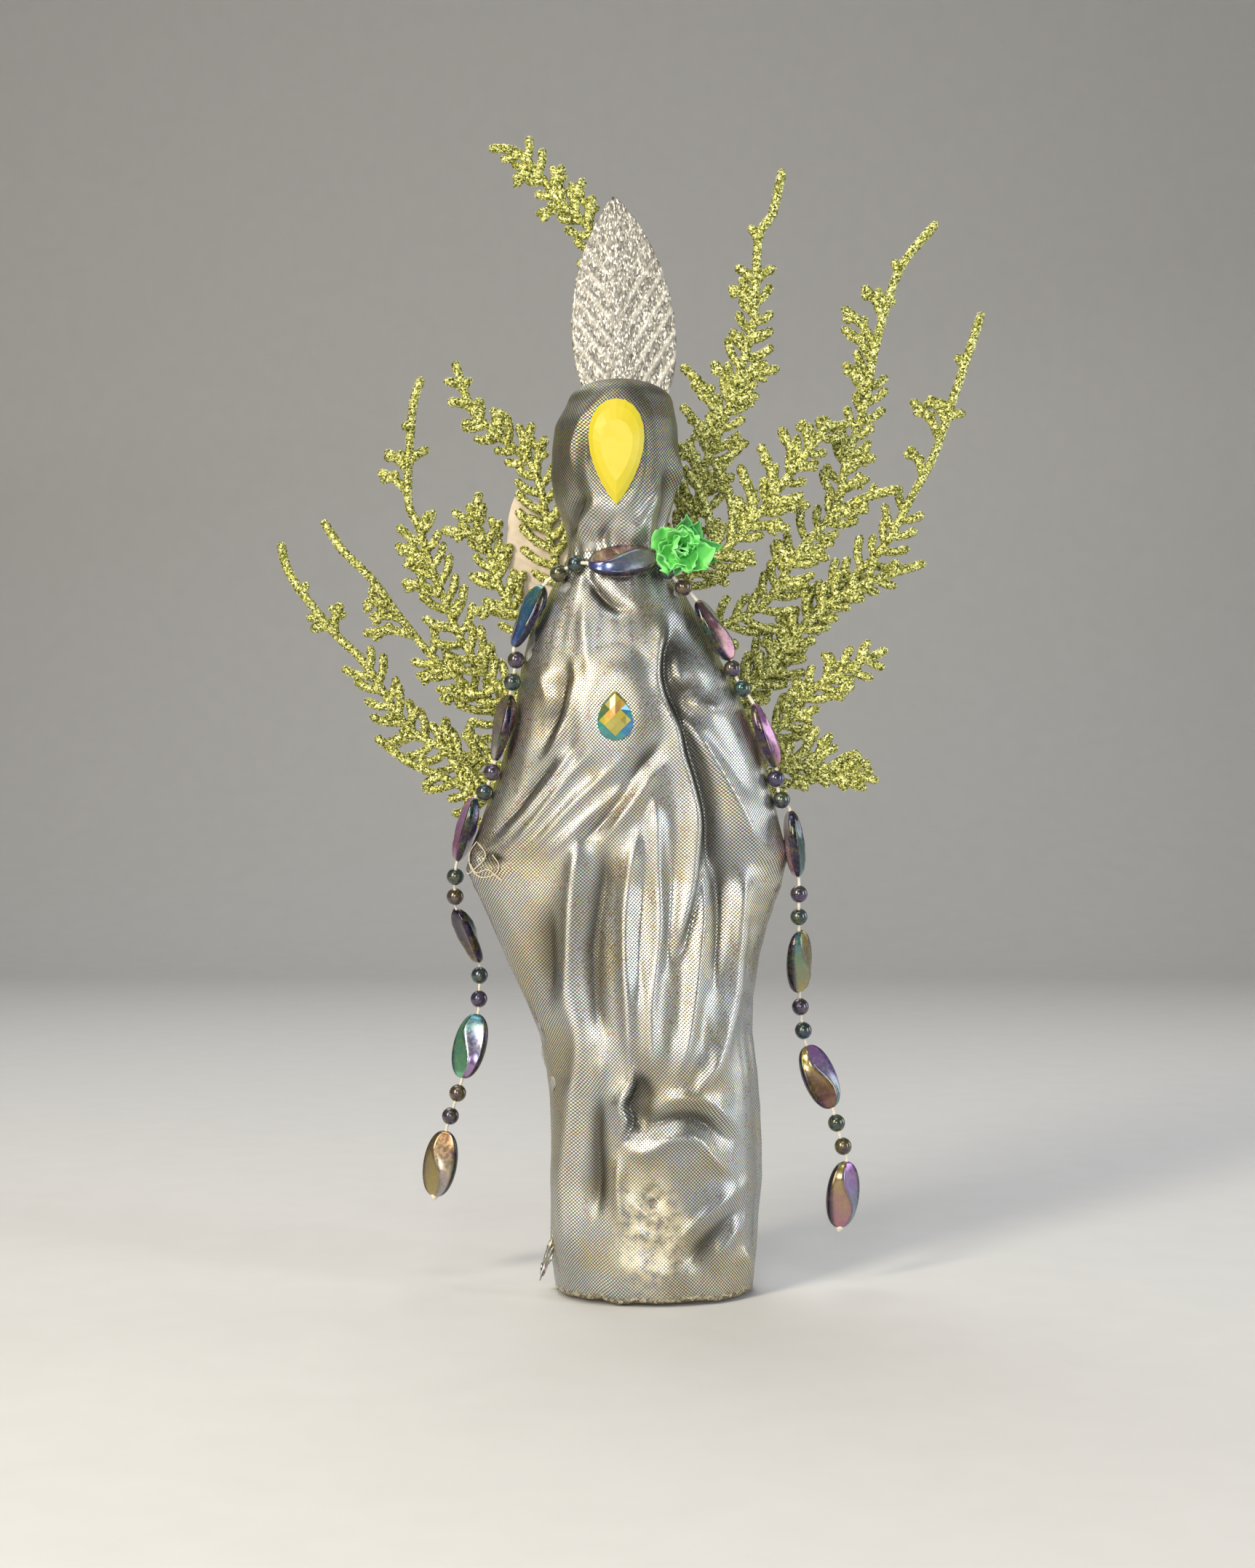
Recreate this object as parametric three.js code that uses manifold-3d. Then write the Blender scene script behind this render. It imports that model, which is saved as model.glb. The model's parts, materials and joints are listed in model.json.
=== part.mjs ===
// Found-object art doll: a padded stick cross wrapped in metallic cloth, with a leaf crown, glittered
// cedar wings, flat-back gems, a paper rose and a moulded bead garland whose two ends swing free.
// Millimetres, +Z up. The doll faces -Y and stands on its base disc, whose underside holds the origin.
import * as THREE from 'three';
import { mergeVertices } from 'three/addons/utils/BufferGeometryUtils.js';
import Module from 'manifold-3d';

const wasm = await Module();
wasm.setup();

// Driving dimensions
const CLEARANCE = 0.3;          // gap between pieces that touch
const BODY_HEIGHT = 211;        // table to the neck seam
const HEAD_HEIGHT = 51.5;       // neck seam to the top of the head
const CLOTH_DEPTH = 3;          // gathered cloth, from its mean surface in to the padding
const PADDING_SLACK = 0.7;      // air between the padding and the cloth
const HEM_LIFT = 0.8;           // hem above the table
const DISC_THICKNESS = 3;
const TUBE_WIDTH = 43;          // oval cardboard tube in the skirt
const TUBE_DEPTH = 29;
const TUBE_HEIGHT = 82;
const TUBE_WALL = 1.5;
const POST_DIAMETER = 6;
const POST_INTO_HEAD = 26;      // dowel above the neck seam
const POST_FORWARD = 3;         // dowel in front of the middle plane, so that the twig passes behind it
const CROSS_DIAMETER = 4.4;
const CROSS_LEFT = 32;          // twig from the dowel to its left end
const CROSS_RIGHT = 32;
const CROSS_DROP = 88;          // twig below the neck seam
const LASH_WIDTH = 4;
const LASH_THICKNESS = 1.2;
const ROUND_DIAMETER = 5;
const OVAL_LENGTH = 19.5;
const OVAL_WIDTH = 10.4;
const OVAL_THICKNESS = 6;
const STRING_DIAMETER = 1.4;
const STRING_GAP = 2;           // bare string between two hanging beads
const GLUED_GAP = 1.3;          // string between beads that are pushed together in the glue
const NUB_DIAMETER = 2.2;       // melted end of the garland
const TWIG_WIDTH = 3.1;
const STEM_WIDTH = 2.9;
const LEAF_LENGTH = 76;
const LEAF_WIDTH = 30.6;
const LEAF_THICKNESS = 0.9;
const BACK_LEAF_LENGTH = 56;
const BACK_LEAF_WIDTH = 24;
const FACE_GEM_WIDTH = 15.8;
const FACE_GEM_HEIGHT = 29.8;
const FACE_GEM_THICKNESS = 3.4;
const CHEST_GEM_WIDTH = 10;
const CHEST_GEM_HEIGHT = 14;
const CHEST_GEM_THICKNESS = 3.6;
const ROSE_DIAMETER = 13;
const ROSE_DEPTH = 6.5;
const PETAL_THICKNESS = 0.6;
const ROSE_LEAVES = [[11.5, 0], [9.5, -44], [10, 86], [8, 190]];  // length and turn in degrees

// Cloth sections of the body and of the head: share of the height, left, right, front and back reach,
// and how square the section is (2 is an ellipse, less is pointed like an elbow).
const BODY_ROWS = [
  [0.0, -28.6, 28.2, 22.5, 22.5, 2.3],
  [0.03, -30.4, 29.3, 23.3, 23.2, 2.3],
  [0.075, -30.2, 27.4, 23.4, 23.2, 2.3],
  [0.125, -30.0, 29.8, 23.2, 22.8, 2.3],
  [0.27, -29.8, 29.8, 22.2, 21.2, 2.2],
  [0.36, -33.0, 27.6, 21.6, 20.0, 2.1],
  [0.42, -38.4, 28.6, 21.0, 18.4, 1.95],
  [0.49, -45.0, 32.4, 20.2, 16.4, 1.75],
  [0.54, -49.8, 35.6, 19.2, 15.0, 1.6],
  [0.577, -53.4, 38.2, 18.6, 14.2, 1.5],
  [0.62, -51.6, 36.6, 18.8, 14.2, 1.6],
  [0.69, -46.4, 33.4, 19.2, 14.2, 1.75],
  [0.77, -41.2, 28.2, 19.0, 14.0, 1.9],
  [0.84, -39.0, 21.2, 18.2, 13.8, 2.0],
  [0.91, -35.2, 13.8, 16.2, 13.0, 2.0],
  [0.96, -29.0, 7.4, 13.6, 12.2, 2.0],
  [1.0, -24.6, 3.6, 12.0, 11.8, 2.0],
];
const HEAD_ROWS = [
  [0.0, -24.6, 3.6, 12.0, 11.8, 2.0],
  [0.14, -25.4, 3.2, 12.8, 12.6, 2.0],
  [0.28, -28.4, 4.8, 14.8, 14.6, 2.0],
  [0.43, -30.0, 6.8, 16.8, 16.4, 2.05],
  [0.6, -29.6, 7.0, 17.4, 17.0, 2.1],
  [0.78, -28.6, 6.6, 16.8, 16.6, 2.15],
  [0.88, -25.4, 5.4, 14.4, 14.6, 2.15],
  [0.95, -20.6, 3.6, 10.4, 10.6, 2.1],
  [1.0, -10.0, -8.0, 1.0, 1.0, 2.0],
];

// Main folds on the front of the cloth: points [x, height over the table], rise and half width.
const FRONT_FOLDS = [
  { points: [[1, 186], [5, 162], [11, 136], [5, 95]], rise: -2.2, width: 3.2 },
  { points: [[7, 186], [11, 164], [18, 142], [16, 110]], rise: 2.2, width: 4 },
  { points: [[1, 173], [29, 128]], rise: 2.2, width: 4 },
  { points: [[-22, 186], [-27, 162], [-43, 130]], rise: -2.0, width: 3.4 },
  { points: [[-49, 127], [-22, 148], [0, 162]], rise: 2.2, width: 4 },
  { points: [[-49, 122], [-24, 133], [-6, 140]], rise: 1.8, width: 3.6 },
  { points: [[-24, 112], [-24, 12]], rise: 2.4, width: 4 },
  { points: [[-14, 118], [-15, 60]], rise: -2.1, width: 3.4 },
  { points: [[-7, 120], [-7, 70]], rise: 2.0, width: 3.6 },
  { points: [[-7, 92], [-8, 64], [-9, 48]], rise: -1.8, width: 3 },
  { points: [[11, 112], [12, 70]], rise: 2.2, width: 3.8 },
  { points: [[21, 104], [22, 62]], rise: 1.8, width: 3.6 },
  { points: [[-9, 45], [5, 48], [24, 40]], rise: -2.2, width: 3.2 },
  { points: [[24, 35], [8, 21]], rise: 2.4, width: 3.8 },
  { points: [[-16, 60], [-16, 36]], rise: -2.0, width: 3.2 },
];
const BACK_PLEATS = 9;          // folds round the whole skirt, shallow under the front folds
const BACK_PLEAT_RISE = 1.4;
const NECK_PLEATS = 12;         // gathers at the neck seam
const NECK_PLEAT_RISE = 0.7;
const NECK_PLEAT_REACH = 13;

// Cedar sprigs, from the seat on the doll's back to the tip: [x, height over the neck seam], the layer
// that the sprig lies in, and the tips of its side twigs.
const FIRST_LAYER = 13;         // depth behind the middle plane
const LAYER_PITCH = 3.6;
const SPRIGS = {
  sprig_left_top: {
    layer: 1,
    stem: [[-20, -15], [-27, -5], [-31, 8], [-33, 20], [-36, 29], [-42, 35], [-48, 40], [-54, 46],
      [-59, 60]],
    twigs: [[-62, 54], [-54, 55], [-61, 48], [-51, 49], [-57, 41], [-45, 46], [-50, 37], [-45, 33],
      [-36, 42], [-40, 30], [-32, 38], [-27, 16], [-38, 14]],
  },
  sprig_left_inner: {
    layer: 1,
    stem: [[-30, -29], [-38, -18], [-45, -8], [-49, 4], [-55, 18]],
    twigs: [[-50, 18], [-45, 13], [-60, 9], [-63, 10], [-53, -3], [-38, -2], [-42, 6], [-54, -14],
      [-34, -12]],
  },
  sprig_left_upper: {
    layer: 2,
    stem: [[-29, -48], [-45, -37], [-56, -24], [-62, -11], [-67, 2], [-70, 12], [-73, 20], [-72, 45],
      [-69, 56]],
    twigs: [[-75, 42], [-80, 34], [-82, 28], [-67, 35], [-77, 6], [-74, 2], [-75, -5], [-66, 16], [-57, -10],
      [-48, -23], [-65, -18]],
  },
  sprig_left_middle: {
    layer: 3,
    stem: [[-27, -56], [-43, -48], [-54, -37], [-65, -28], [-76, -15], [-84, -4], [-93, 5], [-99, 14]],
    twigs: [[-85, -7], [-87, -11], [-85, -15], [-87, -20], [-60, -26], [-70, -33], [-49, -35], [-64, -40]],
  },
  sprig_left_lower: {
    layer: 2,
    stem: [[-30, -64], [-47, -59], [-60, -55], [-73, -48], [-86, -29], [-95, -20], [-108, -3], [-111, 7]],
    twigs: [[-103, -5], [-106, -8], [-103, -16], [-102, -19], [-93, -11], [-89, -33], [-80, -45], [-70, -42],
      [-62, -45], [-55, -47], [-78, -52], [-58, -62]],
  },
  sprig_left_elbow: {
    layer: 0,
    stem: [[-32, -74], [-49, -69], [-62, -63], [-73, -58], [-82, -51]],
    twigs: [[-68, -56], [-68, -66], [-56, -71], [-55, -59], [-47, -62]],
  },
  sprig_right_top: {
    layer: 1,
    stem: [[-7, -9], [3, 1], [11, 12], [15, 29], [22, 46], [29, 70], [30, 81], [31, 97], [35, 104],
      [38, 117]],
    twigs: [[28, 100], [24, 88], [22, 82], [36, 88], [34, 68], [37, 58], [24, 68], [17, 60], [11, 54],
      [8, 59], [31, 50], [28, 36], [12, 40], [24, 26], [9, 28]],
  },
  sprig_right_inner: {
    layer: 0,
    stem: [[1, -13], [10, -4], [24, 7], [39, 25], [52, 42]],
    twigs: [[43, 42], [37, 40], [31, 35], [25, 29], [48, 28], [40, 10], [17, 13], [30, 0], [22, -6],
      [46, 17]],
  },
  sprig_right_upper: {
    layer: 2,
    stem: [[5, -27], [20, -18], [33, -11], [43, 4], [54, 17], [57, 30], [63, 49], [66, 66], [73, 88],
      [84, 102]],
    twigs: [[71, 91], [62, 83], [56, 77], [56, 71], [66, 81], [72, 79], [56, 60], [50, 44], [66, 32],
      [64, 26], [73, 23], [64, 17], [36, 8], [52, 2], [46, -6]],
  },
  sprig_right_middle: {
    layer: 3,
    stem: [[10, -45], [24, -37], [44, -18], [54, -7], [63, 0], [70, 8], [77, 21], [84, 34], [90, 52],
      [98, 76]],
    twigs: [[90, 63], [77, 50], [82, 51], [85, 50], [93, 46], [76, 36], [38, -14], [30, -24], [52, -18]],
  },
  sprig_right_lower: {
    layer: 2,
    stem: [[15, -54], [26, -40], [35, -30], [45, -18], [54, -10], [66, -4], [81, 1]],
    twigs: [[65, -7], [62, -9], [50, -9], [44, -25], [38, -18], [33, -21], [40, -32], [72, 2]],
  },
  sprig_right_shoulder: {
    layer: 1,
    stem: [[17, -62], [37, -48], [47, -37], [55, -32], [69, -25]],
    twigs: [[62, -24], [57, -28], [61, -32], [52, -26], [59, -37], [56, -40], [43, -34], [38, -40],
      [47, -46]],
  },
  sprig_right_elbow: {
    layer: 0,
    stem: [[20, -68], [36, -61], [51, -60], [66, -64]],
    twigs: [[64, -60], [61, -56], [60, -67], [56, -67], [51, -66], [45, -67], [52, -50], [48, -48],
      [40, -53]],
  },
};
const CROWN_SPRIG = {
  stem: [[-11, 55], [-12, 80], [-15, 90], [-20, 101], [-28, 108], [-34, 116], [-41, 123], [-49, 124]],
  twigs: [[-42, 115], [-27, 119], [-21, 115], [-18, 110], [-35, 104]],
};

// Garland on the cloth: [turn round the section in degrees (270 is the front), height over the neck seam]
const GARLAND_LEFT = [[279, -2], [236, -1.5], [216, -3.5], [203, -9], [197, -24], [196, -42], [195, -58],
  [191, -70], [182, -80], [170, -88]];
const GARLAND_RIGHT = [[272, -2], [312, -3.5], [326, -7], [336, -14], [343, -28], [345, -44], [347, -60],
  [350, -76], [355, -88], [362, -97]];
const NECK_OVAL_X = -9.2;
const NECK_OVAL_RISE = -2;
const NECK_OVAL_TILT = 4;       // degrees

// Hanging ends: for each bead, degrees outward from straight down and degrees backward, and for each
// oval the degrees that its flat face is turned outward
const HANG_LEFT = [[6, 30], [0, 32], [-20, 30], [0, -6], [2, -12], [13, -14], [17, -10], [18, -4], [10, 0]];
const HANG_RIGHT = [[0, 6], [2, 24], [2, 20], [4, 0], [10, -4], [22, -8], [14, -6], [17, -2], [-6, 0]];
const HANG_TURN_LEFT = [62, 28, 26];
const HANG_TURN_RIGHT = [52, 28, 28];
const HANG_BEADS = ['round', 'round', 'oval', 'round', 'round', 'oval', 'round', 'round', 'oval'];

// Looks, one per kind of piece
const FINISH = {
  cloth: { color: 0xaaa596, roughness: 0.35, metalness: 0.85 },
  card: { color: 0xb08a5a, roughness: 0.9, metalness: 0 },
  wood: { color: 0x8a6a45, roughness: 0.85, metalness: 0 },
  batting: { color: 0xe8e2d6, roughness: 1, metalness: 0 },
  twine: { color: 0xcbb68e, roughness: 0.95, metalness: 0 },
  silverLeaf: { color: 0xaaa096, roughness: 0.45, metalness: 0.6 },
  paleLeaf: { color: 0xcdbfa6, roughness: 0.8, metalness: 0 },
  cedar: { color: 0xa5a546, roughness: 0.5, metalness: 0.3 },
  yellowGem: { color: 0xfae83c, roughness: 0.15, metalness: 0 },
  rainbowGem: { color: 0x6f9a5a, roughness: 0.08, metalness: 0.6 },
  rose: { color: 0x4ccf52, roughness: 0.7, metalness: 0 },
  roseLeaf: { color: 0x2f8f45, roughness: 0.7, metalness: 0 },
  bead: { color: 0x2e4a48, roughness: 0.12, metalness: 0.9 },
};

const doll = new THREE.Group();
const V = (x, y, z) => new THREE.Vector3(x, y, z);
const radians = THREE.MathUtils.degToRad;

function addPiece(name, geometry, finish) {
  const mesh = new THREE.Mesh(geometry, new THREE.MeshStandardMaterial(FINISH[finish]));
  mesh.name = name;
  doll.add(mesh);
  return mesh;
}

// Closed surface through rings of equal count. Poles close its ends; with none, the last ring meets
// the first.
function loft(rings, startPole, endPole) {
  const count = rings[0].length;
  const points = rings.flat();
  const faces = [];
  const quad = (a, b) => {
    for (let i = 0; i < count; i += 1) {
      const j = (i + 1) % count;
      faces.push(a + i, a + j, b + j, a + i, b + j, b + i);
    }
  };
  for (let r = 0; r + 1 < rings.length; r += 1) quad(r * count, (r + 1) * count);
  if (startPole) {
    points.push(startPole, endPole);
    const [first, last] = [points.length - 2, (rings.length - 1) * count];
    for (let i = 0; i < count; i += 1) {
      const j = (i + 1) % count;
      faces.push(first, j, i, first + 1, last + i, last + j);
    }
  } else quad((rings.length - 1) * count, 0);
  const geometry = new THREE.BufferGeometry();
  const places = points.flatMap((p) => [p.x, p.y, p.z]);
  geometry.setAttribute('position', new THREE.Float32BufferAttribute(places, 3));
  geometry.setIndex(faces);
  return geometry;
}

// Joins and cuts
function toSolid(geometry) {
  const bare = geometry.clone();
  bare.deleteAttribute('normal');
  bare.deleteAttribute('uv');
  const merged = mergeVertices(bare, 1e-4);
  const vertProperties = new Float32Array(merged.attributes.position.array);
  const solid = new wasm.Manifold(new wasm.Mesh({
    numProp: 3, vertProperties, triVerts: new Uint32Array(merged.index.array),
  }));
  return solid;
}

function toGeometry(solid) {
  const mesh = solid.getMesh();
  const geometry = new THREE.BufferGeometry();
  geometry.setAttribute('position', new THREE.BufferAttribute(new Float32Array(mesh.vertProperties), 3));
  geometry.setIndex(new THREE.BufferAttribute(new Uint32Array(mesh.triVerts), 1));
  return geometry;
}

function join(geometries) {
  return toGeometry(geometries.map(toSolid).reduce((sum, next) => sum.add(next)));
}

function cut(geometry, tools) {
  return toGeometry(tools.map(toSolid).reduce((rest, tool) => rest.subtract(tool), toSolid(geometry)));
}

// Round bar along a curve, with its radius at each share of the length; its ends are flat or domed
function bar(curve, radiusAt, sides, steps, dome = 0) {
  const frames = curve.computeFrenetFrames(steps, false);
  const rings = [];
  for (let i = 0; i <= steps; i += 1) {
    const centre = curve.getPointAt(i / steps);
    const radius = radiusAt(i / steps);
    rings.push(Array.from({ length: sides }, (_, k) => {
      const turn = (2 * Math.PI * k) / sides;
      return centre.clone()
        .addScaledVector(frames.normals[i], radius * Math.cos(turn))
        .addScaledVector(frames.binormals[i], radius * Math.sin(turn));
    }));
  }
  const start = curve.getPointAt(0).addScaledVector(frames.tangents[0], -radiusAt(0) * dome);
  const end = curve.getPointAt(1).addScaledVector(frames.tangents[steps], radiusAt(1) * dome);
  return loft(rings, start, end);
}

const spread = (from, to, count) => Array.from({ length: count },
  (_, i) => from + ((to - from) * i) / (count - 1));
const straight = (from, to) => new THREE.LineCurve3(from, to);
const smooth = (points) => new THREE.CatmullRomCurve3(points, false, 'centripetal');

// Cloth surface

// Row of a section table at a share of its height, on a curve through the rows
function sectionRow(rows, share) {
  let i = 0;
  while (i + 2 < rows.length && share > rows[i + 1][0]) i += 1;
  const [before, low, high, after] = [rows[Math.max(i - 1, 0)], rows[i], rows[i + 1],
    rows[Math.min(i + 2, rows.length - 1)]];
  const span = high[0] - low[0];
  const t = THREE.MathUtils.clamp((share - low[0]) / span, 0, 1);
  return low.slice(1).map((value, k) => {
    const c = k + 1;
    const slopeLow = low === before ? 0 : ((high[c] - before[c]) / (high[0] - before[0])) * span;
    const slopeHigh = high === after ? 0 : ((after[c] - low[c]) / (after[0] - low[0])) * span;
    const [t2, t3] = [t * t, t * t * t];
    return (2 * t3 - 3 * t2 + 1) * value + (t3 - 2 * t2 + t) * slopeLow
      + (3 * t2 - 2 * t3) * high[c] + (t3 - t2) * slopeHigh;
  });
}

function clothSection(z) {
  const [left, right, front, back, power] = z <= BODY_HEIGHT
    ? sectionRow(BODY_ROWS, z / BODY_HEIGHT)
    : sectionRow(HEAD_ROWS, (z - BODY_HEIGHT) / HEAD_HEIGHT);
  return { middle: (left + right) / 2, half: (right - left) / 2, front, back, power };
}

function distanceToLine(x, z, points) {
  const here = new THREE.Vector2(x, z);
  const nearest = new THREE.Vector2();
  let least = Infinity;
  for (let i = 0; i + 1 < points.length; i += 1) {
    const start = new THREE.Vector2(...points[i]);
    const along = new THREE.Vector2(...points[i + 1]).sub(start);
    const share = THREE.MathUtils.clamp(here.clone().sub(start).dot(along) / along.lengthSq(), 0, 1);
    least = Math.min(least, nearest.copy(start).addScaledVector(along, share).distanceTo(here));
  }
  return least;
}

// Height of the folds over the mean cloth surface
function foldRise(x, z, turn) {
  const skirt = THREE.MathUtils.smoothstep(z, 0, 12) * (1 - THREE.MathUtils.smoothstep(z, 95, 125));
  const front = THREE.MathUtils.smoothstep(-Math.sin(turn), 0.05, 0.45);
  let rise = BACK_PLEAT_RISE * skirt * (1 - 0.8 * front) * Math.cos(BACK_PLEATS * turn + z / 40);
  const fromNeck = (z - BODY_HEIGHT) / NECK_PLEAT_REACH;
  rise += NECK_PLEAT_RISE * Math.exp(-fromNeck * fromNeck) * Math.cos(NECK_PLEATS * turn);
  for (const fold of FRONT_FOLDS) {
    const away = distanceToLine(x, z, fold.points) / fold.width;
    rise += front * fold.rise * Math.exp(-away * away);
  }
  return THREE.MathUtils.clamp(rise, 0.8 - CLOTH_DEPTH, CLOTH_DEPTH);
}

// Point of the cloth at a height and a turn round the section; an inset surface has no folds
function clothPoint(z, turn, inset = 0) {
  const { middle, half, front, back, power } = clothSection(z);
  const [c, s] = [Math.cos(turn), Math.sin(turn)];
  const [reachX, reachY] = [half - inset, (s < 0 ? front : back) - inset];
  const shape = (value) => Math.sign(value) * Math.abs(value) ** (2 / power);
  const point = V(middle + reachX * shape(c), reachY * shape(s), z);
  if (inset) return point;
  return point.addScaledVector(V(c * reachY, s * reachX, 0).normalize(), foldRise(point.x, z, turn));
}

// Distance from a point to the folded cloth, level with the table, positive outside
function clothGap(point) {
  const { middle, half, front, back, power } = clothSection(point.z);
  const [dx, dy] = [point.x - middle, point.y];
  const depth = dy < 0 ? front : back;
  const [u, v] = [Math.abs(dx) / half, Math.abs(dy) / depth];
  const value = u ** power + v ** power;
  const slope = power * Math.hypot(u ** (power - 1) / half, v ** (power - 1) / depth);
  const turn = Math.atan2(Math.sign(dy) * v ** (power / 2), Math.sign(dx) * u ** (power / 2));
  return (value - 1) / slope - Math.max(foldRise(point.x, point.z, turn), 0);
}

// How far to push a geometry along a direction until it rests just off the cloth
function pushOut(geometry, placed, direction) {
  const corners = geometry.attributes.position;
  const corner = V();
  let push = 0;
  for (let round = 0; round < 40; round += 1) {
    let least = Infinity;
    for (let i = 0; i < corners.count; i += 1) {
      corner.fromBufferAttribute(corners, i).applyMatrix4(placed).addScaledVector(direction, push);
      least = Math.min(least, clothGap(corner));
    }
    push += CLEARANCE + 0.15 - least;
  }
  return push;
}

// Slide a piece along a direction, from well outside, until it rests against the nearest of some pieces
function restAgainst(piece, others, direction) {
  const caster = new THREE.Raycaster();
  const corner = V();
  const leastRoom = (from, to, way) => {
    let least = Infinity;
    const corners = from.geometry.attributes.position;
    for (let i = 0; i < corners.count; i += 1) {
      corner.fromBufferAttribute(corners, i).applyMatrix4(from.matrixWorld);
      caster.set(corner, way);
      const hit = caster.intersectObject(to)[0];
      if (hit) least = Math.min(least, hit.distance);
    }
    return least;
  };
  piece.position.addScaledVector(direction, -2 * HEAD_HEIGHT);
  piece.updateMatrixWorld(true);
  const rooms = others.flatMap((name) => {
    const other = doll.getObjectByName(name);
    other.updateMatrixWorld(true);
    return [leastRoom(piece, other, direction), leastRoom(other, piece, direction.clone().negate())];
  });
  piece.position.addScaledVector(direction, Math.min(...rooms) - CLEARANCE);
}

function clothRing(z, sides, inset) {
  return Array.from({ length: sides }, (_, i) => clothPoint(z, (2 * Math.PI * i) / sides, inset));
}

// Closed shell between the folded cloth and the padding
function clothShell(heights, innerHeights, sides, topPole) {
  const ring = (z, inset) => clothRing(z, sides, inset);
  const outer = heights.map((z) => ring(z, 0));
  const inner = innerHeights.map((z) => ring(z, CLOTH_DEPTH)).reverse();
  if (!topPole) return loft([...outer, ...inner]);
  const top = clothSection(topPole);
  const insideTop = V(top.middle, 0, innerHeights.at(-1) + 1);
  return loft([...inner, ...outer], insideTop, V(top.middle, 0, topPole));
}

// Inner structure

const clothInner = CLOTH_DEPTH + PADDING_SLACK;
const seam = BODY_HEIGHT;
const halfSeam = CLEARANCE / 2;
const discTop = DISC_THICKNESS + CLEARANCE;
const tubeTop = discTop + TUBE_HEIGHT;
const crown = seam + HEAD_HEIGHT;

// Heights where the padding and the inner face of the cloth share a section, so that they lie parallel
const skirtRows = spread(discTop, tubeTop, 4);
const chestRows = [tubeTop + CLEARANCE, ...spread(tubeTop + 12, seam - 12, 6), seam - 2];
const bodyInnerRows = [HEM_LIFT, ...skirtRows, ...chestRows, seam - halfSeam];
const headRows = spread(seam + 2, crown - CLOTH_DEPTH - 2.5, 7);
const headInnerRows = [seam + halfSeam, ...headRows];
const BODY_SIDES = 34;
const HEAD_SIDES = 26;

const extrude = (shape, depth, curveSegments) => new THREE.ExtrudeGeometry(shape,
  { depth, bevelEnabled: false, curveSegments });

function ovalShape(halfX, halfY) {
  return new THREE.Shape().absellipse(0, 0, halfX, halfY, 0, 2 * Math.PI, false, 0);
}

function makeBase() {
  const foot = clothSection(DISC_THICKNESS);
  const shape = ovalShape(foot.half - clothInner - 1.5, foot.front - clothInner - 1.5);
  addPiece('base_disc', extrude(shape, DISC_THICKNESS, 20), 'card');
  const wall = ovalShape(TUBE_WIDTH / 2, TUBE_DEPTH / 2);
  wall.holes.push(ovalShape(TUBE_WIDTH / 2 - TUBE_WALL, TUBE_DEPTH / 2 - TUBE_WALL));
  addPiece('body_tube', extrude(wall, TUBE_HEIGHT, 16), 'card').position.z = discTop;
}

const crossHeight = seam - CROSS_DROP;
const postFoot = V(0, -POST_FORWARD, discTop);
const postTop = V(clothSection(seam).middle, -POST_FORWARD, seam + POST_INTO_HEAD);
const postAt = (z) => postFoot.clone().lerp(postTop, (z - postFoot.z) / (postTop.z - postFoot.z));
const crossY = -POST_FORWARD + POST_DIAMETER / 2 + CROSS_DIAMETER / 2 + CLEARANCE;
const crossMiddle = V(postAt(crossHeight).x, crossY, crossHeight);

const postBar = (extra) => bar(straight(postFoot, postTop), () => POST_DIAMETER / 2 + extra, 14, 1);

function crossBar(extra) {
  const tip = (side, reach) => crossMiddle.clone().add(V(side * reach, 0, 0));
  return bar(straight(tip(-1, CROSS_LEFT), tip(1, CROSS_RIGHT)), () => CROSS_DIAMETER / 2 + extra, 10, 1);
}

// Two flat bands lashed crosswise round the dowel and the twig
const lashReach = POST_DIAMETER / Math.SQRT2 + LASH_WIDTH / 2 + CLEARANCE + 0.9;

function lashing() {
  const depth = 1.25 * ((POST_DIAMETER + CROSS_DIAMETER) / 2 + 1.5 * CLEARANCE + 0.4);
  const band = (lean) => {
    const outline = ovalShape(lashReach + LASH_THICKNESS, depth + LASH_THICKNESS);
    outline.holes.push(ovalShape(lashReach, depth));
    return extrude(outline, LASH_WIDTH, 6).translate(0, 0, -LASH_WIDTH / 2).rotateY(lean);
  };
  const backOfPost = -POST_FORWARD + POST_DIAMETER / 2 + CLEARANCE / 2;
  const knotY = backOfPost + (CROSS_DIAMETER - POST_DIAMETER) / 2;
  return join([band(Math.PI / 4), band(-Math.PI / 4)]).translate(crossMiddle.x, knotY, crossHeight);
}

function makeSkeleton() {
  addPiece('center_post', postBar(0), 'wood');
  addPiece('cross_twig', crossBar(0), 'wood');
  addPiece('arm_lashing', lashing(), 'twine');
}

function filledSkin(heights, sides) {
  const ring = (z) => clothRing(z, sides, clothInner);
  const [low, high] = [heights[0], heights.at(-1)];
  return loft(heights.map(ring), V(clothSection(low).middle, 0, low), V(clothSection(high).middle, 0, high));
}

function makePadding() {
  const boreShape = ovalShape(TUBE_WIDTH / 2 + CLEARANCE, TUBE_DEPTH / 2 + CLEARANCE);
  const bore = extrude(boreShape, TUBE_HEIGHT + 4, 12).translate(0, 0, discTop - 2);
  addPiece('skirt_padding', cut(filledSkin(skirtRows, BODY_SIDES), [bore]), 'batting');
  const knot = (depth) => V(crossMiddle.x, crossY + depth, crossHeight);
  const pocketRadius = lashReach + LASH_WIDTH / 2 + LASH_THICKNESS;
  const pocket = bar(straight(knot(-13), knot(7.5)), () => pocketRadius, 14, 1);
  const tools = [postBar(CLEARANCE), crossBar(CLEARANCE), pocket];
  addPiece('chest_padding', cut(filledSkin(chestRows, BODY_SIDES), tools), 'batting');
  addPiece('head_core', cut(filledSkin(headRows, HEAD_SIDES), [postBar(CLEARANCE)]), 'batting');
}

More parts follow.
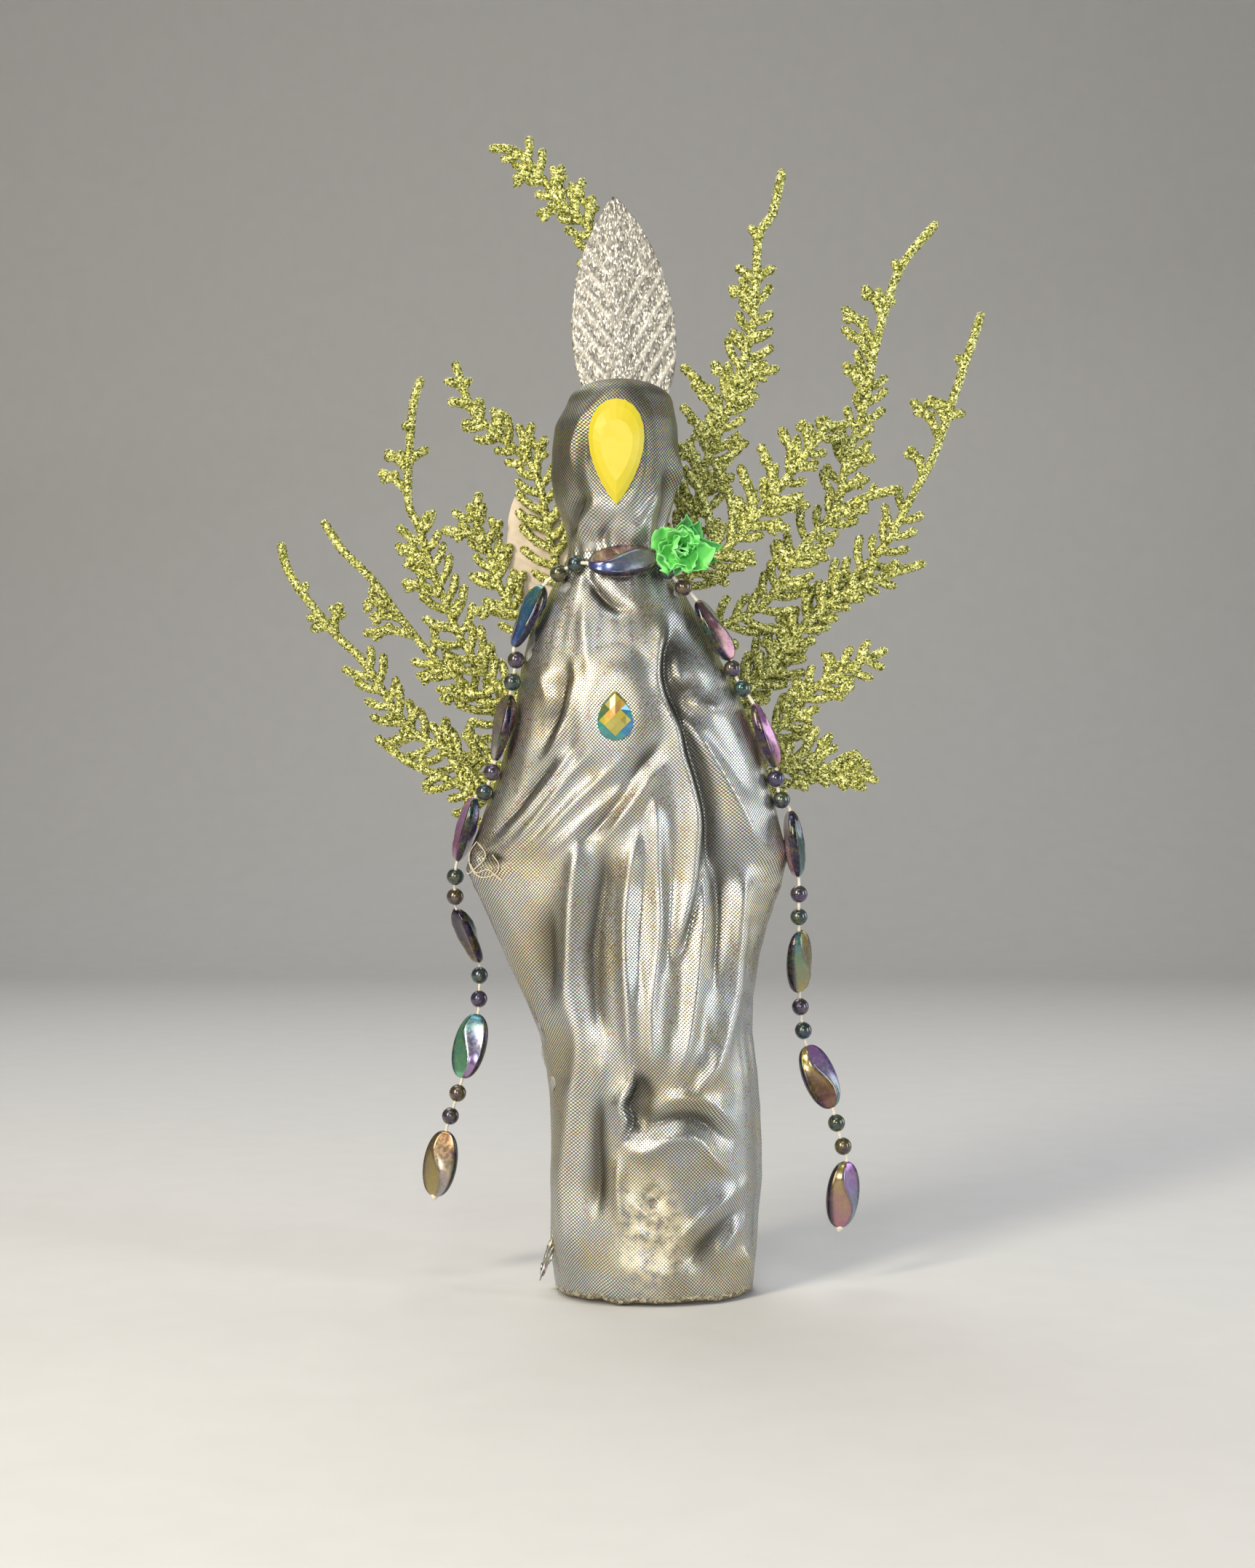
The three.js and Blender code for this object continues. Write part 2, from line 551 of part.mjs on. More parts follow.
function makeWraps() {
  const body = clothShell(spread(HEM_LIFT, seam - halfSeam, 21), bodyInnerRows, BODY_SIDES);
  addPiece('body_wrap', body, 'cloth');
  const head = clothShell(spread(seam + halfSeam, crown - 1.2, 12), headInnerRows, HEAD_SIDES, crown);
  addPiece('head_wrap', head, 'cloth');
}

// Leaves, petals and gems

// Thin blade standing along +Z: half width at each share of its length, and its depth at share and side
function blade(length, halfWidth, depthAt, thickness, rows, columns) {
  const sides = spread(-1, 1, columns);
  const at = (share, side, offset) => V(side * halfWidth(share), depthAt(share, side) + offset,
    share * length);
  const rings = spread(1 / rows / 2, 1 - 1 / rows / 2, rows).map((share) => [
    ...sides.map((side) => at(share, side, -thickness / 2)),
    ...sides.map((side) => at(share, -side, thickness / 2)),
  ]);
  return loft(rings, at(0, 0, 0), at(1, 0, 0));
}

// Half width of a pointed leaf whose widest place is at a share of its length
function leafHalf(width, widest) {
  return (share) => {
    const t = share < widest ? share / widest : (1 - share) / (1 - widest);
    return (width / 2) * Math.sin((Math.PI / 2) * t ** 0.85);
  };
}

function makeCrownLeaf() {
  const crease = (share, side) => (1.1 * Math.abs(side) - 1.2) * Math.sin(Math.PI * share);
  const leaf = addPiece('leaf_crown',
    blade(LEAF_LENGTH, leafHalf(LEAF_WIDTH, 0.45), crease, LEAF_THICKNESS, 13, 7), 'silverLeaf');
  leaf.position.set(-6.5, 0, seam + 33);
  leaf.rotation.y = radians(-4);
  restAgainst(leaf, ['head_wrap'], V(0, -1, 0));
}

// Pressed leaf stuck behind the sprigs of the left shoulder
function makeBackLeaf() {
  const flat = (share, side) => 0.5 * side * side;
  const back = addPiece('back_leaf',
    blade(BACK_LEAF_LENGTH, leafHalf(BACK_LEAF_WIDTH, 0.5), flat, LEAF_THICKNESS, 9, 5), 'paleLeaf');
  back.rotation.y = radians(-24);
  back.position.set(-18, 0, seam - 30);
  restAgainst(back, ['body_wrap', 'sprig_left_top', 'sprig_left_inner'], V(0, -1, 0));
}

// Teardrop outline in X and Z with its point up
function teardrop(width, height, count) {
  const outline = Array.from({ length: count }, (_, i) => {
    const turn = (2 * Math.PI * i) / count;
    return new THREE.Vector2(-Math.sin(turn) * Math.sin(turn / 2) ** 0.8, Math.cos(turn));
  });
  const widest = Math.max(...outline.map((p) => p.x));
  return outline.map((p) => new THREE.Vector2((p.x * width) / 2 / widest, (p.y * height) / 2));
}

// Flat-back faceted stone facing -Y: girdle, crown facets and a table
function stone(width, height, thickness, count) {
  const outline = teardrop(width, height, count);
  const ring = (scale, share) => outline.map((p) => V(p.x * scale, -thickness * share, p.y * scale));
  const rings = [ring(0.97, 0), ring(1, 0.25), ring(0.84, 0.68), ring(0.58, 1)];
  return loft(rings, V(0, 0, 0), V(0, -thickness, 0));
}

function makeGems() {
  const face = stone(FACE_GEM_WIDTH, FACE_GEM_HEIGHT, FACE_GEM_THICKNESS, 24).rotateY(Math.PI);
  setOnFront(addPiece('face_gem', face, 'yellowGem'), -11, seam + 28.6, ['head_wrap']);
  const chest = stone(CHEST_GEM_WIDTH, CHEST_GEM_HEIGHT, CHEST_GEM_THICKNESS, 20);
  setOnFront(addPiece('chest_gem', chest, 'rainbowGem'), -11.3, seam - 45.6, ['body_wrap']);
}

function setOnFront(mesh, x, z, others) {
  mesh.position.set(x, 0, z);
  restAgainst(mesh, others, V(0, 1, 0));
}

// Paper rose facing -Y: one strip rolled into a loose spiral, its free edge flared into petals, on a
// ring of pointed leaves
function rolledStrip() {
  const turns = 2.6;
  const steps = 34;
  const rings = spread(0, 1, steps).map((share) => {
    const turn = 2 * Math.PI * turns * share;
    const petals = 0.5 + 0.5 * Math.cos(5 * (turn - 0.6));
    const foot = 0.8 + (ROSE_DIAMETER / 2 - 3.4) * share;
    const rim = foot + (0.3 + 2.2 * share) * (0.75 + 0.25 * petals);
    const height = ROSE_DEPTH * (1 - 0.45 * share * (1 - 0.4 * petals));
    const at = (radius, depth) => V(radius * Math.cos(turn), -depth, radius * Math.sin(turn));
    const t = PETAL_THICKNESS;
    return [at(foot, 0), at(rim, height), at(rim + t, height), at(foot + t, 0)];
  });
  const end = (ring) => ring.reduce((sum, p) => sum.add(p), V(0, 0, 0)).divideScalar(ring.length);
  return loft(rings, end(rings[0]), end(rings.at(-1)));
}

function makeRose() {
  const bloom = addPiece('rose_bloom', rolledStrip(), 'rose');
  const leaf = (length, turn) => blade(length, leafHalf(length * 0.62, 0.4), () => 0, PETAL_THICKNESS, 5, 3)
    .rotateY(turn);
  const disc = bar(straight(V(0, 0.3, 0), V(0, -0.3, 0)), () => ROSE_DIAMETER * 0.34, 10, 1);
  const leaves = ROSE_LEAVES.map(([length, turn]) => leaf(length, radians(turn)));
  const calyx = addPiece('rose_leaves', join([disc, ...leaves]), 'roseLeaf');
  setOnFront(calyx, 8.2, seam + 0.8, ['head_wrap', 'body_wrap', 'garland_neck', 'garland_right_1']);
  bloom.position.copy(calyx.position).add(V(0, -PETAL_THICKNESS / 2 - CLEARANCE, 0));
}

// Cedar sprigs

// Side twig from the stem to its tip: it leaves the stem further down than its nearest point
function twigBar(stem, tip) {
  const shares = spread(0, 1, 61);
  const away = (share) => stem.getPointAt(share).distanceTo(tip);
  const nearest = shares.reduce((best, share) => (away(share) < away(best) ? share : best));
  const root = stem.getPointAt(Math.max(nearest - (0.8 * away(nearest)) / stem.getLength(), 0.04));
  const bend = root.clone().lerp(tip, 0.5).lerp(stem.getPointAt(nearest), 0.18);
  const end = tip.clone().lerp(bend, (TWIG_WIDTH * 0.4) / tip.distanceTo(bend));
  const steps = root.distanceTo(end) < 3.5 * TWIG_WIDTH ? 1 : 2;
  const curve = new THREE.QuadraticBezierCurve3(root, bend, end);
  return bar(curve, (t) => (TWIG_WIDTH / 2) * (0.72 + 0.28 * t), 4, steps, 0.6);
}

function sprig(stem, tips) {
  const radius = STEM_WIDTH / 2;
  const trunk = bar(stem, (t) => radius * (0.85 + 0.2 * t), 5, Math.round(stem.getLength() / 14), 0.6);
  return join([trunk, ...tips.map((tip) => twigBar(stem, tip))]);
}

function backOfCloth(x, z) {
  const { middle, half, back, power } = clothSection(z);
  return back * Math.max(1 - (Math.abs(x - middle) / half) ** power, 0) ** (1 / power);
}

function makeSprigs() {
  for (const [name, { layer, stem, twigs }] of Object.entries(SPRIGS)) {
    const depth = FIRST_LAYER + layer * LAYER_PITCH;
    const [x, rise] = stem[0];
    const onCloth = backOfCloth(x, seam + rise) + STEM_WIDTH / 2 + CLEARANCE;
    const seat = Math.min(onCloth, depth);
    const points = stem.map((p, i) => V(p[0], i === 0 ? seat : depth, seam + p[1]));
    const tips = twigs.map((p) => V(p[0], depth, seam + p[1]));
    addPiece(name, sprig(smooth(points), tips), 'cedar');
  }
  const leaf = doll.getObjectByName('leaf_crown');
  const behindLeaf = leaf.position.y + (LEAF_THICKNESS + TWIG_WIDTH) / 2 + CLEARANCE;
  const place = (p) => V(p[0], behindLeaf, seam + p[1]);
  addPiece('sprig_crown', sprig(smooth(CROWN_SPRIG.stem.map(place)), CROWN_SPRIG.twigs.map(place)), 'cedar');
}

// Bead garland

// Bead standing along Z. The oval has an S-shaped ridge on each face between two hollowed facets.
function roundBead() {
  const radius = ROUND_DIAMETER / 2;
  const rings = spread(-54, 54, 4).map((lift) => Array.from({ length: 8 }, (_, i) => {
    const turn = (2 * Math.PI * i) / 8;
    const flat = radius * Math.cos(radians(lift));
    return V(flat * Math.cos(turn), flat * Math.sin(turn), radius * Math.sin(radians(lift)));
  }));
  return loft(rings, V(0, 0, -radius), V(0, 0, radius));
}

function ovalBead() {
  const rings = spread(-68, 68, 7).map((lift) => {
    const share = Math.sin(radians(lift));
    const taper = Math.cos(radians(lift));
    const [w, t] = [(OVAL_WIDTH / 2) * taper ** 0.85, (OVAL_THICKNESS / 2) * taper ** 0.8];
    const ridge = 0.5 * w * Math.sin(2.4 * share);
    const hollow = 0.62;
    return [V(w, 0, 0), V((w + ridge) / 2, t * hollow, 0), V(ridge, t, 0), V((ridge - w) / 2, t * hollow, 0),
      V(-w, 0, 0), V((-w - ridge) / 2, -t * hollow, 0), V(-ridge, -t, 0), V((w - ridge) / 2, -t * hollow, 0)]
      .map((p) => p.setZ((share * OVAL_LENGTH) / 2));
  });
  return loft(rings, V(0, 0, -OVAL_LENGTH / 2), V(0, 0, OVAL_LENGTH / 2));
}

const BEADS = {
  round: { length: ROUND_DIAMETER, thickness: ROUND_DIAMETER, make: roundBead },
  oval: { length: OVAL_LENGTH, thickness: OVAL_THICKNESS, make: ovalBead },
};

// Frame of a bead: its string hole along one direction, its flat face turned to another
function beadFrame(along, face) {
  const z = along.clone().normalize();
  const x = z.clone().cross(face).normalize();
  return new THREE.Matrix4().makeBasis(x, z.clone().cross(x), z);
}

function stringBar(from, to) {
  return bar(straight(from, to), () => STRING_DIAMETER / 2, 5, 1, 0.6);
}

// Beads glued along a route on the cloth, each pushed out until it rests on it
function gluedBeads(route, kinds, startShare) {
  const turns = route.map((p) => radians(p[0]));
  const heights = route.map((p) => seam + p[1]);
  const points = route.map((p, i) => clothPoint(heights[i], turns[i]));
  const curve = smooth(points);
  const length = curve.getLength();
  let reach = startShare;
  return kinds.map((kind) => {
    const bead = BEADS[kind];
    const from = curve.getPointAt(Math.min(reach / length, 1));
    const to = curve.getPointAt(Math.min((reach + bead.length) / length, 1));
    const along = to.clone().sub(from).normalize();
    const middle = from.clone().lerp(to, 0.5);
    const section = clothSection(middle.z);
    const out = V((middle.x - section.middle) / section.half, middle.y / section.front, 0);
    const face = out.addScaledVector(along, -out.dot(along)).normalize();
    const placed = beadFrame(along, face).setPosition(middle.addScaledVector(face, bead.thickness / 2));
    const geometry = bead.make();
    const push = pushOut(geometry, placed, face);
    placed.setPosition(middle.addScaledVector(face, push));
    reach += bead.length + GLUED_GAP;
    const tip = along.multiplyScalar(bead.length / 2);
    const solid = geometry.applyMatrix4(placed);
    return { solid, head: middle.clone().sub(tip), tail: middle.clone().add(tip) };
  });
}

const shortOf = (from, to, by) => to.clone().lerp(from, by / from.distanceTo(to));

// Bead pairs with the oval that follows them, one solid each, strung towards the next
function makeGluedGarland(side, route, startShare) {
  const kinds = ['round', 'round', 'oval', 'round', 'round', 'oval', 'round', 'round', 'oval'];
  const beads = gluedBeads(route, kinds, startShare);
  for (let i = 0; i < beads.length; i += 3) {
    const [first, second, oval] = beads.slice(i, i + 3);
    const inside = GLUED_GAP / 2;
    const link = (from, to, into) => stringBar(shortOf(to.head, from.tail, -inside),
      shortOf(from.tail, to.head, into));
    const next = beads[i + 3];
    const solids = [first.solid, second.solid, oval.solid,
      link(first, second, -inside), link(second, oval, -inside),
      next ? link(oval, next, 2 * CLEARANCE) : hingeString(oval.head, oval.tail)];
    addPiece(`garland_${side}_${i / 3 + 1}`, join(solids), 'bead');
  }
  return beads.at(-1);
}

// Bare string out of a bead's lower end, ending in the middle of the gap, where the garland bends
function hingeString(head, tail) {
  const along = tail.clone().sub(head).normalize();
  const reach = STRING_GAP / 2 - (STRING_DIAMETER / 2) * 0.6 + 0.2;
  return stringBar(tail.clone().addScaledVector(along, -1), tail.clone().addScaledVector(along, reach));
}

function makeHangingEnd(side, last, angles, ovalTurns) {
  const outward = side === 'left' ? -1 : 1;
  let along = last.tail.clone().sub(last.head).normalize();
  let tail = last.tail.clone();
  HANG_BEADS.forEach((kind, i) => {
    const [out, back] = angles[i].map(radians);
    const pivot = tail.clone().addScaledVector(along, STRING_GAP / 2);
    along = V(outward * Math.sin(out) * Math.cos(back), Math.sin(back), -Math.cos(out) * Math.cos(back));
    const head = pivot.clone().addScaledVector(along, STRING_GAP / 2);
    tail = head.clone().addScaledVector(along, BEADS[kind].length);
    const turn = radians(ovalTurns[Math.floor(i / 3)]);
    const face = V(outward * Math.sin(turn), -Math.cos(turn), 0);
    const placed = beadFrame(along, face).setPosition(head.clone().lerp(tail, 0.5));
    const nubLine = straight(shortOf(head, tail, 0.8), shortOf(head, tail, -0.6));
    const lowerEnd = i === HANG_BEADS.length - 1
      ? bar(nubLine, () => NUB_DIAMETER / 2, 6, 1, 0.6)
      : hingeString(head, tail);
    const solid = join([BEADS[kind].make().applyMatrix4(placed), lowerEnd]);
    const bead = addPiece(`bead_${side}_${i + 1}`, solid, 'bead');
    bead.userData.pivot = pivot.toArray();
  });
}

function makeGarland() {
  const along = V(1, 0, Math.sin(radians(NECK_OVAL_TILT)));
  const neck = ovalBead().applyMatrix4(beadFrame(along, V(0, -1, 0)));
  const neckBead = addPiece('garland_neck', neck, 'bead');
  setOnFront(neckBead, NECK_OVAL_X, seam + NECK_OVAL_RISE, ['head_wrap', 'body_wrap']);
  const besideNeck = OVAL_LENGTH / 2 + GLUED_GAP;
  const left = makeGluedGarland('left', GARLAND_LEFT, besideNeck);
  const right = makeGluedGarland('right', GARLAND_RIGHT, besideNeck);
  makeHangingEnd('left', left, HANG_LEFT, HANG_TURN_LEFT);
  makeHangingEnd('right', right, HANG_RIGHT, HANG_TURN_RIGHT);
}

makeBase();
makeSkeleton();
makePadding();
makeWraps();
makeCrownLeaf();
makeGems();
makeSprigs();
makeBackLeaf();
makeGarland();
makeRose();

export default doll;
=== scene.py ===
# %% [markdown]
# # Found-object art doll
# A padded stick cross, wrapped in metallic cloth and dressed with a leaf, cedar sprigs, stones, a paper
# rose and a bead garland. The construction comes from a fixed frame of solids in metres. This lesson
# makes the looks round it: each cell builds one kind of piece where its solid lies, and gives it its
# finish.

# %% Tools and the frame
import json
import math
import random

import bmesh
import bpy
import numpy as np
from mathutils import Matrix, Vector, noise
from mathutils.bvhtree import BVHTree

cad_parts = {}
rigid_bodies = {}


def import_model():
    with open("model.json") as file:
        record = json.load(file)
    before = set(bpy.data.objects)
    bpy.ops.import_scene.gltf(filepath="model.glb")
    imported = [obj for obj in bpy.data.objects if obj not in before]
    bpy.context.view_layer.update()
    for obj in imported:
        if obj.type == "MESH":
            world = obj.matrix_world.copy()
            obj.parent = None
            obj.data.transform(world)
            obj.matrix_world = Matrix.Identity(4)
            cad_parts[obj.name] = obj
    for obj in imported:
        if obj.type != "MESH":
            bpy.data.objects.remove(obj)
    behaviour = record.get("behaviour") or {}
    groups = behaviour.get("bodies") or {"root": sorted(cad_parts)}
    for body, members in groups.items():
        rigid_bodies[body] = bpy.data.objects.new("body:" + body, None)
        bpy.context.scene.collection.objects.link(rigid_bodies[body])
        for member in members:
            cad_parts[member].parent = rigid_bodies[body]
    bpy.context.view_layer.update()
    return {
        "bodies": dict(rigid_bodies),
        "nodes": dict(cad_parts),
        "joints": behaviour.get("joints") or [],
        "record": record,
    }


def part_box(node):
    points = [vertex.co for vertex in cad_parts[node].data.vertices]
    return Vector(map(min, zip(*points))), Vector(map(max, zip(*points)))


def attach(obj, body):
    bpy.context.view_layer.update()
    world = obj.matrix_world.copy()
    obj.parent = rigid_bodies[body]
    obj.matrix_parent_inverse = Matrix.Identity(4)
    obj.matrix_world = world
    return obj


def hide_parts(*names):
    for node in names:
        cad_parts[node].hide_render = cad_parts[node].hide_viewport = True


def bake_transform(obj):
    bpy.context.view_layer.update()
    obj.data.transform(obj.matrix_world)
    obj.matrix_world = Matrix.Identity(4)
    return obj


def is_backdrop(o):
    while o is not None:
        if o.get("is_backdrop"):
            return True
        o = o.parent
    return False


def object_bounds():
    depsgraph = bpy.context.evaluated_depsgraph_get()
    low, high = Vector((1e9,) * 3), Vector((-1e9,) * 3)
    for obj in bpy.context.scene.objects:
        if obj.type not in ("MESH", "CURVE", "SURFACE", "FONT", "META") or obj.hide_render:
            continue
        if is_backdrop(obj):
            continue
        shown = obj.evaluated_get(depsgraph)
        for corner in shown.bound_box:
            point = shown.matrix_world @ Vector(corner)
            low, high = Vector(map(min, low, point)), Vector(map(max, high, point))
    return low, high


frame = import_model()
nodes = frame["nodes"]
hinges = {joint["child"]: Vector(joint["pos_m"]) for joint in frame["joints"]}
MM = 0.001
print(len(nodes), "solids,", len(hinges), "hinges")

# %% [markdown]
# ## Camera and light
# The photograph looks straight at the front from a little above the elbows. One of its pixels is 0.21 mm
# at the doll's middle plane, and `photo_point` turns a pixel into a place at a chosen depth, so that glue
# and threads can be laid where they show. Metallic cloth only looks like metal when it has something
# bright to reflect and something dark beside it. So two tall boxes, a warm one on the left and a cool one
# on the right, draw a thin line of light along every fold. A box behind the right side lights its edge,
# and weaker ones in front, above and behind fill the rest.

# %% Camera and light
PHOTO_WIDTH, PHOTO_HEIGHT = 1725, 2156
PIXEL = 0.21 * MM
EYE = Vector((-7.875, -680, 146.1)) * MM
SENSOR = 36.0
AIM = Vector((0, 0, 150)) * MM
AMBIENT = 0.07


def photo_point(px, py, depth=0.0):
    scale = PIXEL * (depth - EYE.y) / -EYE.y
    return Vector((EYE.x + (px - PHOTO_WIDTH / 2) * scale, depth, EYE.z + (PHOTO_HEIGHT / 2 - py) * scale))


def add_object(name, data):
    made = bpy.data.objects.new(name, data)
    bpy.context.scene.collection.objects.link(made)
    return made


camera = add_object("camera", bpy.data.cameras.new("camera"))
camera.data.sensor_width = SENSOR
camera.data.lens = SENSOR * -EYE.y / (PHOTO_HEIGHT * PIXEL)
camera.location = EYE
camera.rotation_euler = (math.radians(90), 0, 0)
bpy.context.scene.camera = camera


def softbox(name, place, size, power, tint=(1, 1, 1)):
    light = add_object(name, bpy.data.lights.new(name, "AREA"))
    light.data.shape = "RECTANGLE"
    light.data.size, light.data.size_y = size
    light.data.energy = power
    light.data.color = tint
    light.location = place
    light.rotation_euler = (AIM - light.location).to_track_quat("-Z", "Y").to_euler()


softbox("key", Vector((-0.68, -0.85, 0.62)), (0.22, 0.7), 12, (1, 0.89, 0.7))
softbox("right", Vector((0.95, -0.5, 0.33)), (0.2, 0.62), 3.7, (0.9, 0.95, 1))
softbox("rim", Vector((1.0, 0.32, 0.3)), (0.5, 0.55), 2.6, (0.95, 0.97, 1))
softbox("front", Vector((-0.12, -1.25, 0.4)), (0.3, 0.3), 4.2, (0.98, 0.98, 1))
softbox("top", Vector((-0.15, -0.6, 1.35)), (0.7, 0.4), 3.5, (0.94, 0.97, 1))
softbox("behind", Vector((-0.2, 0.55, 1.1)), (0.8, 0.8), 6)
bpy.context.scene.view_settings.view_transform = "Standard"

world = bpy.data.worlds.new("studio")
bpy.context.scene.world = world
world.use_nodes = True
sky = world.node_tree.nodes["Background"].inputs
sky["Color"].default_value = (0.82, 0.85, 0.9, 1)
sky["Strength"].default_value = AMBIENT
print("camera and", len(bpy.data.lights), "lights")

# %% [markdown]
# ## Finishes as expressions
# A finish is a tree of nodes. Wiring maths nodes by hand is hard to read, so `Value` wraps a socket and
# overloads the operators: `1 - mask * 0.5` adds its nodes by itself. Every other node comes from `add`.

# %% Finishes as expressions


class Value:
    """An output socket that takes part in Python arithmetic."""

    def __init__(self, finish, socket):
        self.finish = finish
        self.socket = socket

    def math(self, operation, *others):
        inputs = dict(enumerate([self, *others]))
        return self.finish.add("Math", {"operation": operation}, inputs)

    def __add__(self, other):
        return self.math("ADD", other)

    def __sub__(self, other):
        return self.math("SUBTRACT", other)

    def __rsub__(self, other):
        return self.finish.add("Math", {"operation": "SUBTRACT"}, {0: other, 1: self})

    def __mul__(self, other):
        return self.math("MULTIPLY", other)

    def __pow__(self, other):
        return self.math("POWER", other)

    __radd__ = __add__
    __rmul__ = __mul__

    def between(self, low, high):
        """0 at low, 1 at high, smooth in between; low may be the larger."""
        settings = {"interpolation_type": "SMOOTHSTEP"}
        return self.finish.add("MapRange", settings, {"Value": self, "From Min": low, "From Max": high})


class Finish:
    """A material with one Principled shader."""

    def __init__(self, name):
        self.material = bpy.data.materials.new(name)
        self.material.use_nodes = True
        self.tree = self.material.node_tree
        self.shader = self.tree.nodes["Principled BSDF"]

    def connect(self, socket, value):
        if isinstance(value, Value):
            self.tree.links.new(value.socket, socket)
        elif socket.type == "RGBA":
            socket.default_value = (*value[:3], 1)
        else:
            socket.default_value = value

    def add(self, kind, settings=None, inputs=None, output=0):
        node = self.tree.nodes.new("ShaderNode" + kind)
        for name, value in (settings or {}).items():
            if name == "stops":
                for _ in value[2:]:
                    node.color_ramp.elements.new(0.5)
                for element, (position, color) in zip(node.color_ramp.elements, value):
                    element.position = position
                    element.color = (*color, 1)
            else:
                setattr(node, name, value)
        for name, value in (inputs or {}).items():
            self.connect(node.inputs[name], value)
        return Value(self, node.outputs[output])

    def set(self, **sockets):
        for name, value in sockets.items():
            self.connect(self.shader.inputs[name.replace("_", " ")], value)
        return self.material

    def place(self, kind="Object"):
        return self.add("TexCoord", output=kind)

    def parts(self, vector):
        split = self.add("SeparateXYZ", inputs={0: vector}).socket.node
        return [Value(self, socket) for socket in split.outputs]

    def attribute(self, name, output="Fac"):
        return self.add("Attribute", {"attribute_name": name}, output=output)

    def noise(self, scale, detail=2.0, roughness=0.5, at=None):
        inputs = {"Vector": at or self.place(), "Scale": scale, "Detail": detail, "Roughness": roughness}
        return self.add("TexNoise", inputs=inputs)

    def cells(self, scale, output="Color", at=None, feature="F1"):
        inputs = {"Vector": at or self.place(), "Scale": scale}
        return self.add("TexVoronoi", {"feature": feature}, inputs, output)

    def ramp(self, value, *stops):
        return self.add("ValToRGB", {"stops": stops}, {0: value})

    def mix(self, factor, first, second):
        settings = {"data_type": "RGBA", "clamp_factor": True}
        return self.add("Mix", settings, {0: factor, 6: first, 7: second}, 2)

    def bump(self, height, distance, strength=1.0):
        return self.add("Bump", inputs={"Height": height, "Distance": distance, "Strength": strength})


# %% [markdown]
# ## Fibre and backdrop
# Many plain things, such as string and board, differ only in their tones, so they share `fibre_finish`.
# The doll stands on a sweep of pale card: a floor that bends up into a wall and has no corner to catch
# the eye. Two planes and a bevel would do as well; here one edge is extruded step by step round the bend.

# %% Fibre and backdrop


def fibre_finish(name, scale, detail, dark, light, roughness, relief=0.0):
    """Two tones of one fine noise, which can stand up as relief too."""
    finish = Finish(name)
    fibre = finish.noise(scale, detail)
    if relief:
        finish.set(Normal=finish.bump(fibre, relief))
    return finish.set(Base_Color=finish.ramp(fibre, (0.3, dark), (0.7, light)), Roughness=roughness)


def backdrop_finish():
    finish = Finish("pale_card")
    grain = finish.noise(60, 4)
    color = finish.mix(grain, (0.66, 0.655, 0.645), (0.71, 0.705, 0.695))
    return finish.set(Base_Color=color, Roughness=0.85)


def make_backdrop():
    width, front, bend, height, radius = 12.0, -2.5, 1.1, 2.5, 0.5
    bm = bmesh.new()
    corner = [bm.verts.new((-width / 2, front, 0)), bm.verts.new((width / 2, front, 0))]
    edge = bm.edges.new(corner)

    def pull(edge, offset):
        grown = bmesh.ops.extrude_edge_only(bm, edges=[edge])["geom"]
        moved = [item for item in grown if isinstance(item, bmesh.types.BMVert)]
        bmesh.ops.translate(bm, verts=moved, vec=offset)
        return next(item for item in grown if isinstance(item, bmesh.types.BMEdge))

    edge = pull(edge, (0, bend - front, 0))
    steps = 16
    for step in range(steps):
        a, b = (math.radians(90) * share / steps for share in (step, step + 1))
        edge = pull(edge, (0, radius * (math.sin(b) - math.sin(a)), radius * (math.cos(a) - math.cos(b))))
    pull(edge, (0, 0, height))
    bmesh.ops.recalc_face_normals(bm, faces=bm.faces)
    mesh = bpy.data.meshes.new("backdrop")
    bm.to_mesh(mesh)
    bm.free()
    mesh.polygons.foreach_set("use_smooth", [True] * len(mesh.polygons))
    backdrop = add_object("backdrop", mesh)
    mesh.materials.append(backdrop_finish())
    backdrop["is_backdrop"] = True


make_backdrop()
print("backdrop")

# %% [markdown]
# ## Helpers for pieces
# Each new piece is a bmesh that becomes an object, rides on a body of the frame, and hides the solids
# that it stands for. A search tree of some meshes finds where a ray meets them. Curves with a round bevel
# make everything thin and long, from twigs to threads.

# %% Helpers for pieces


def search_tree(meshes):
    bm = bmesh.new()
    for mesh in meshes:
        bm.from_mesh(mesh)
    tree = BVHTree.FromBMesh(bm)
    bm.free()
    return tree


def solid_tree(*names):
    return search_tree(nodes[name].data for name in names)


def coat(piece, finish):
    piece.data.materials.clear()
    piece.data.materials.append(finish)


def finish_piece(piece, finish, slot, body="doll", stands_for=(), smooth=True):
    coat(piece, finish)
    piece.data.polygons.foreach_set("use_smooth", [smooth] * len(piece.data.polygons))
    if stands_for:
        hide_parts(*stands_for)
    if body:
        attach(piece, body)
    return piece


def piece_from(bm, name, finish, slot, **options):
    mesh = bpy.data.meshes.new(name)
    bm.to_mesh(mesh)
    bm.free()
    return finish_piece(add_object(name, mesh), finish, slot, **options)


def baked_modifiers(piece):
    """Replace a piece's mesh by what its modifiers make of it."""
    graph = bpy.context.evaluated_depsgraph_get()
    mesh = bpy.data.meshes.new_from_object(piece.evaluated_get(graph))
    piece.modifiers.clear()
    piece.data = mesh
    return piece


def smoothstep(value, low, high):
    t = np.clip((value - low) / (high - low), 0, 1)
    return t * t * (3 - 2 * t)


def lengths_along(path):
    """Distance along a path from its start to each of its points."""
    return np.concatenate([[0], np.cumsum(np.linalg.norm(np.diff(path, axis=0), axis=1))])


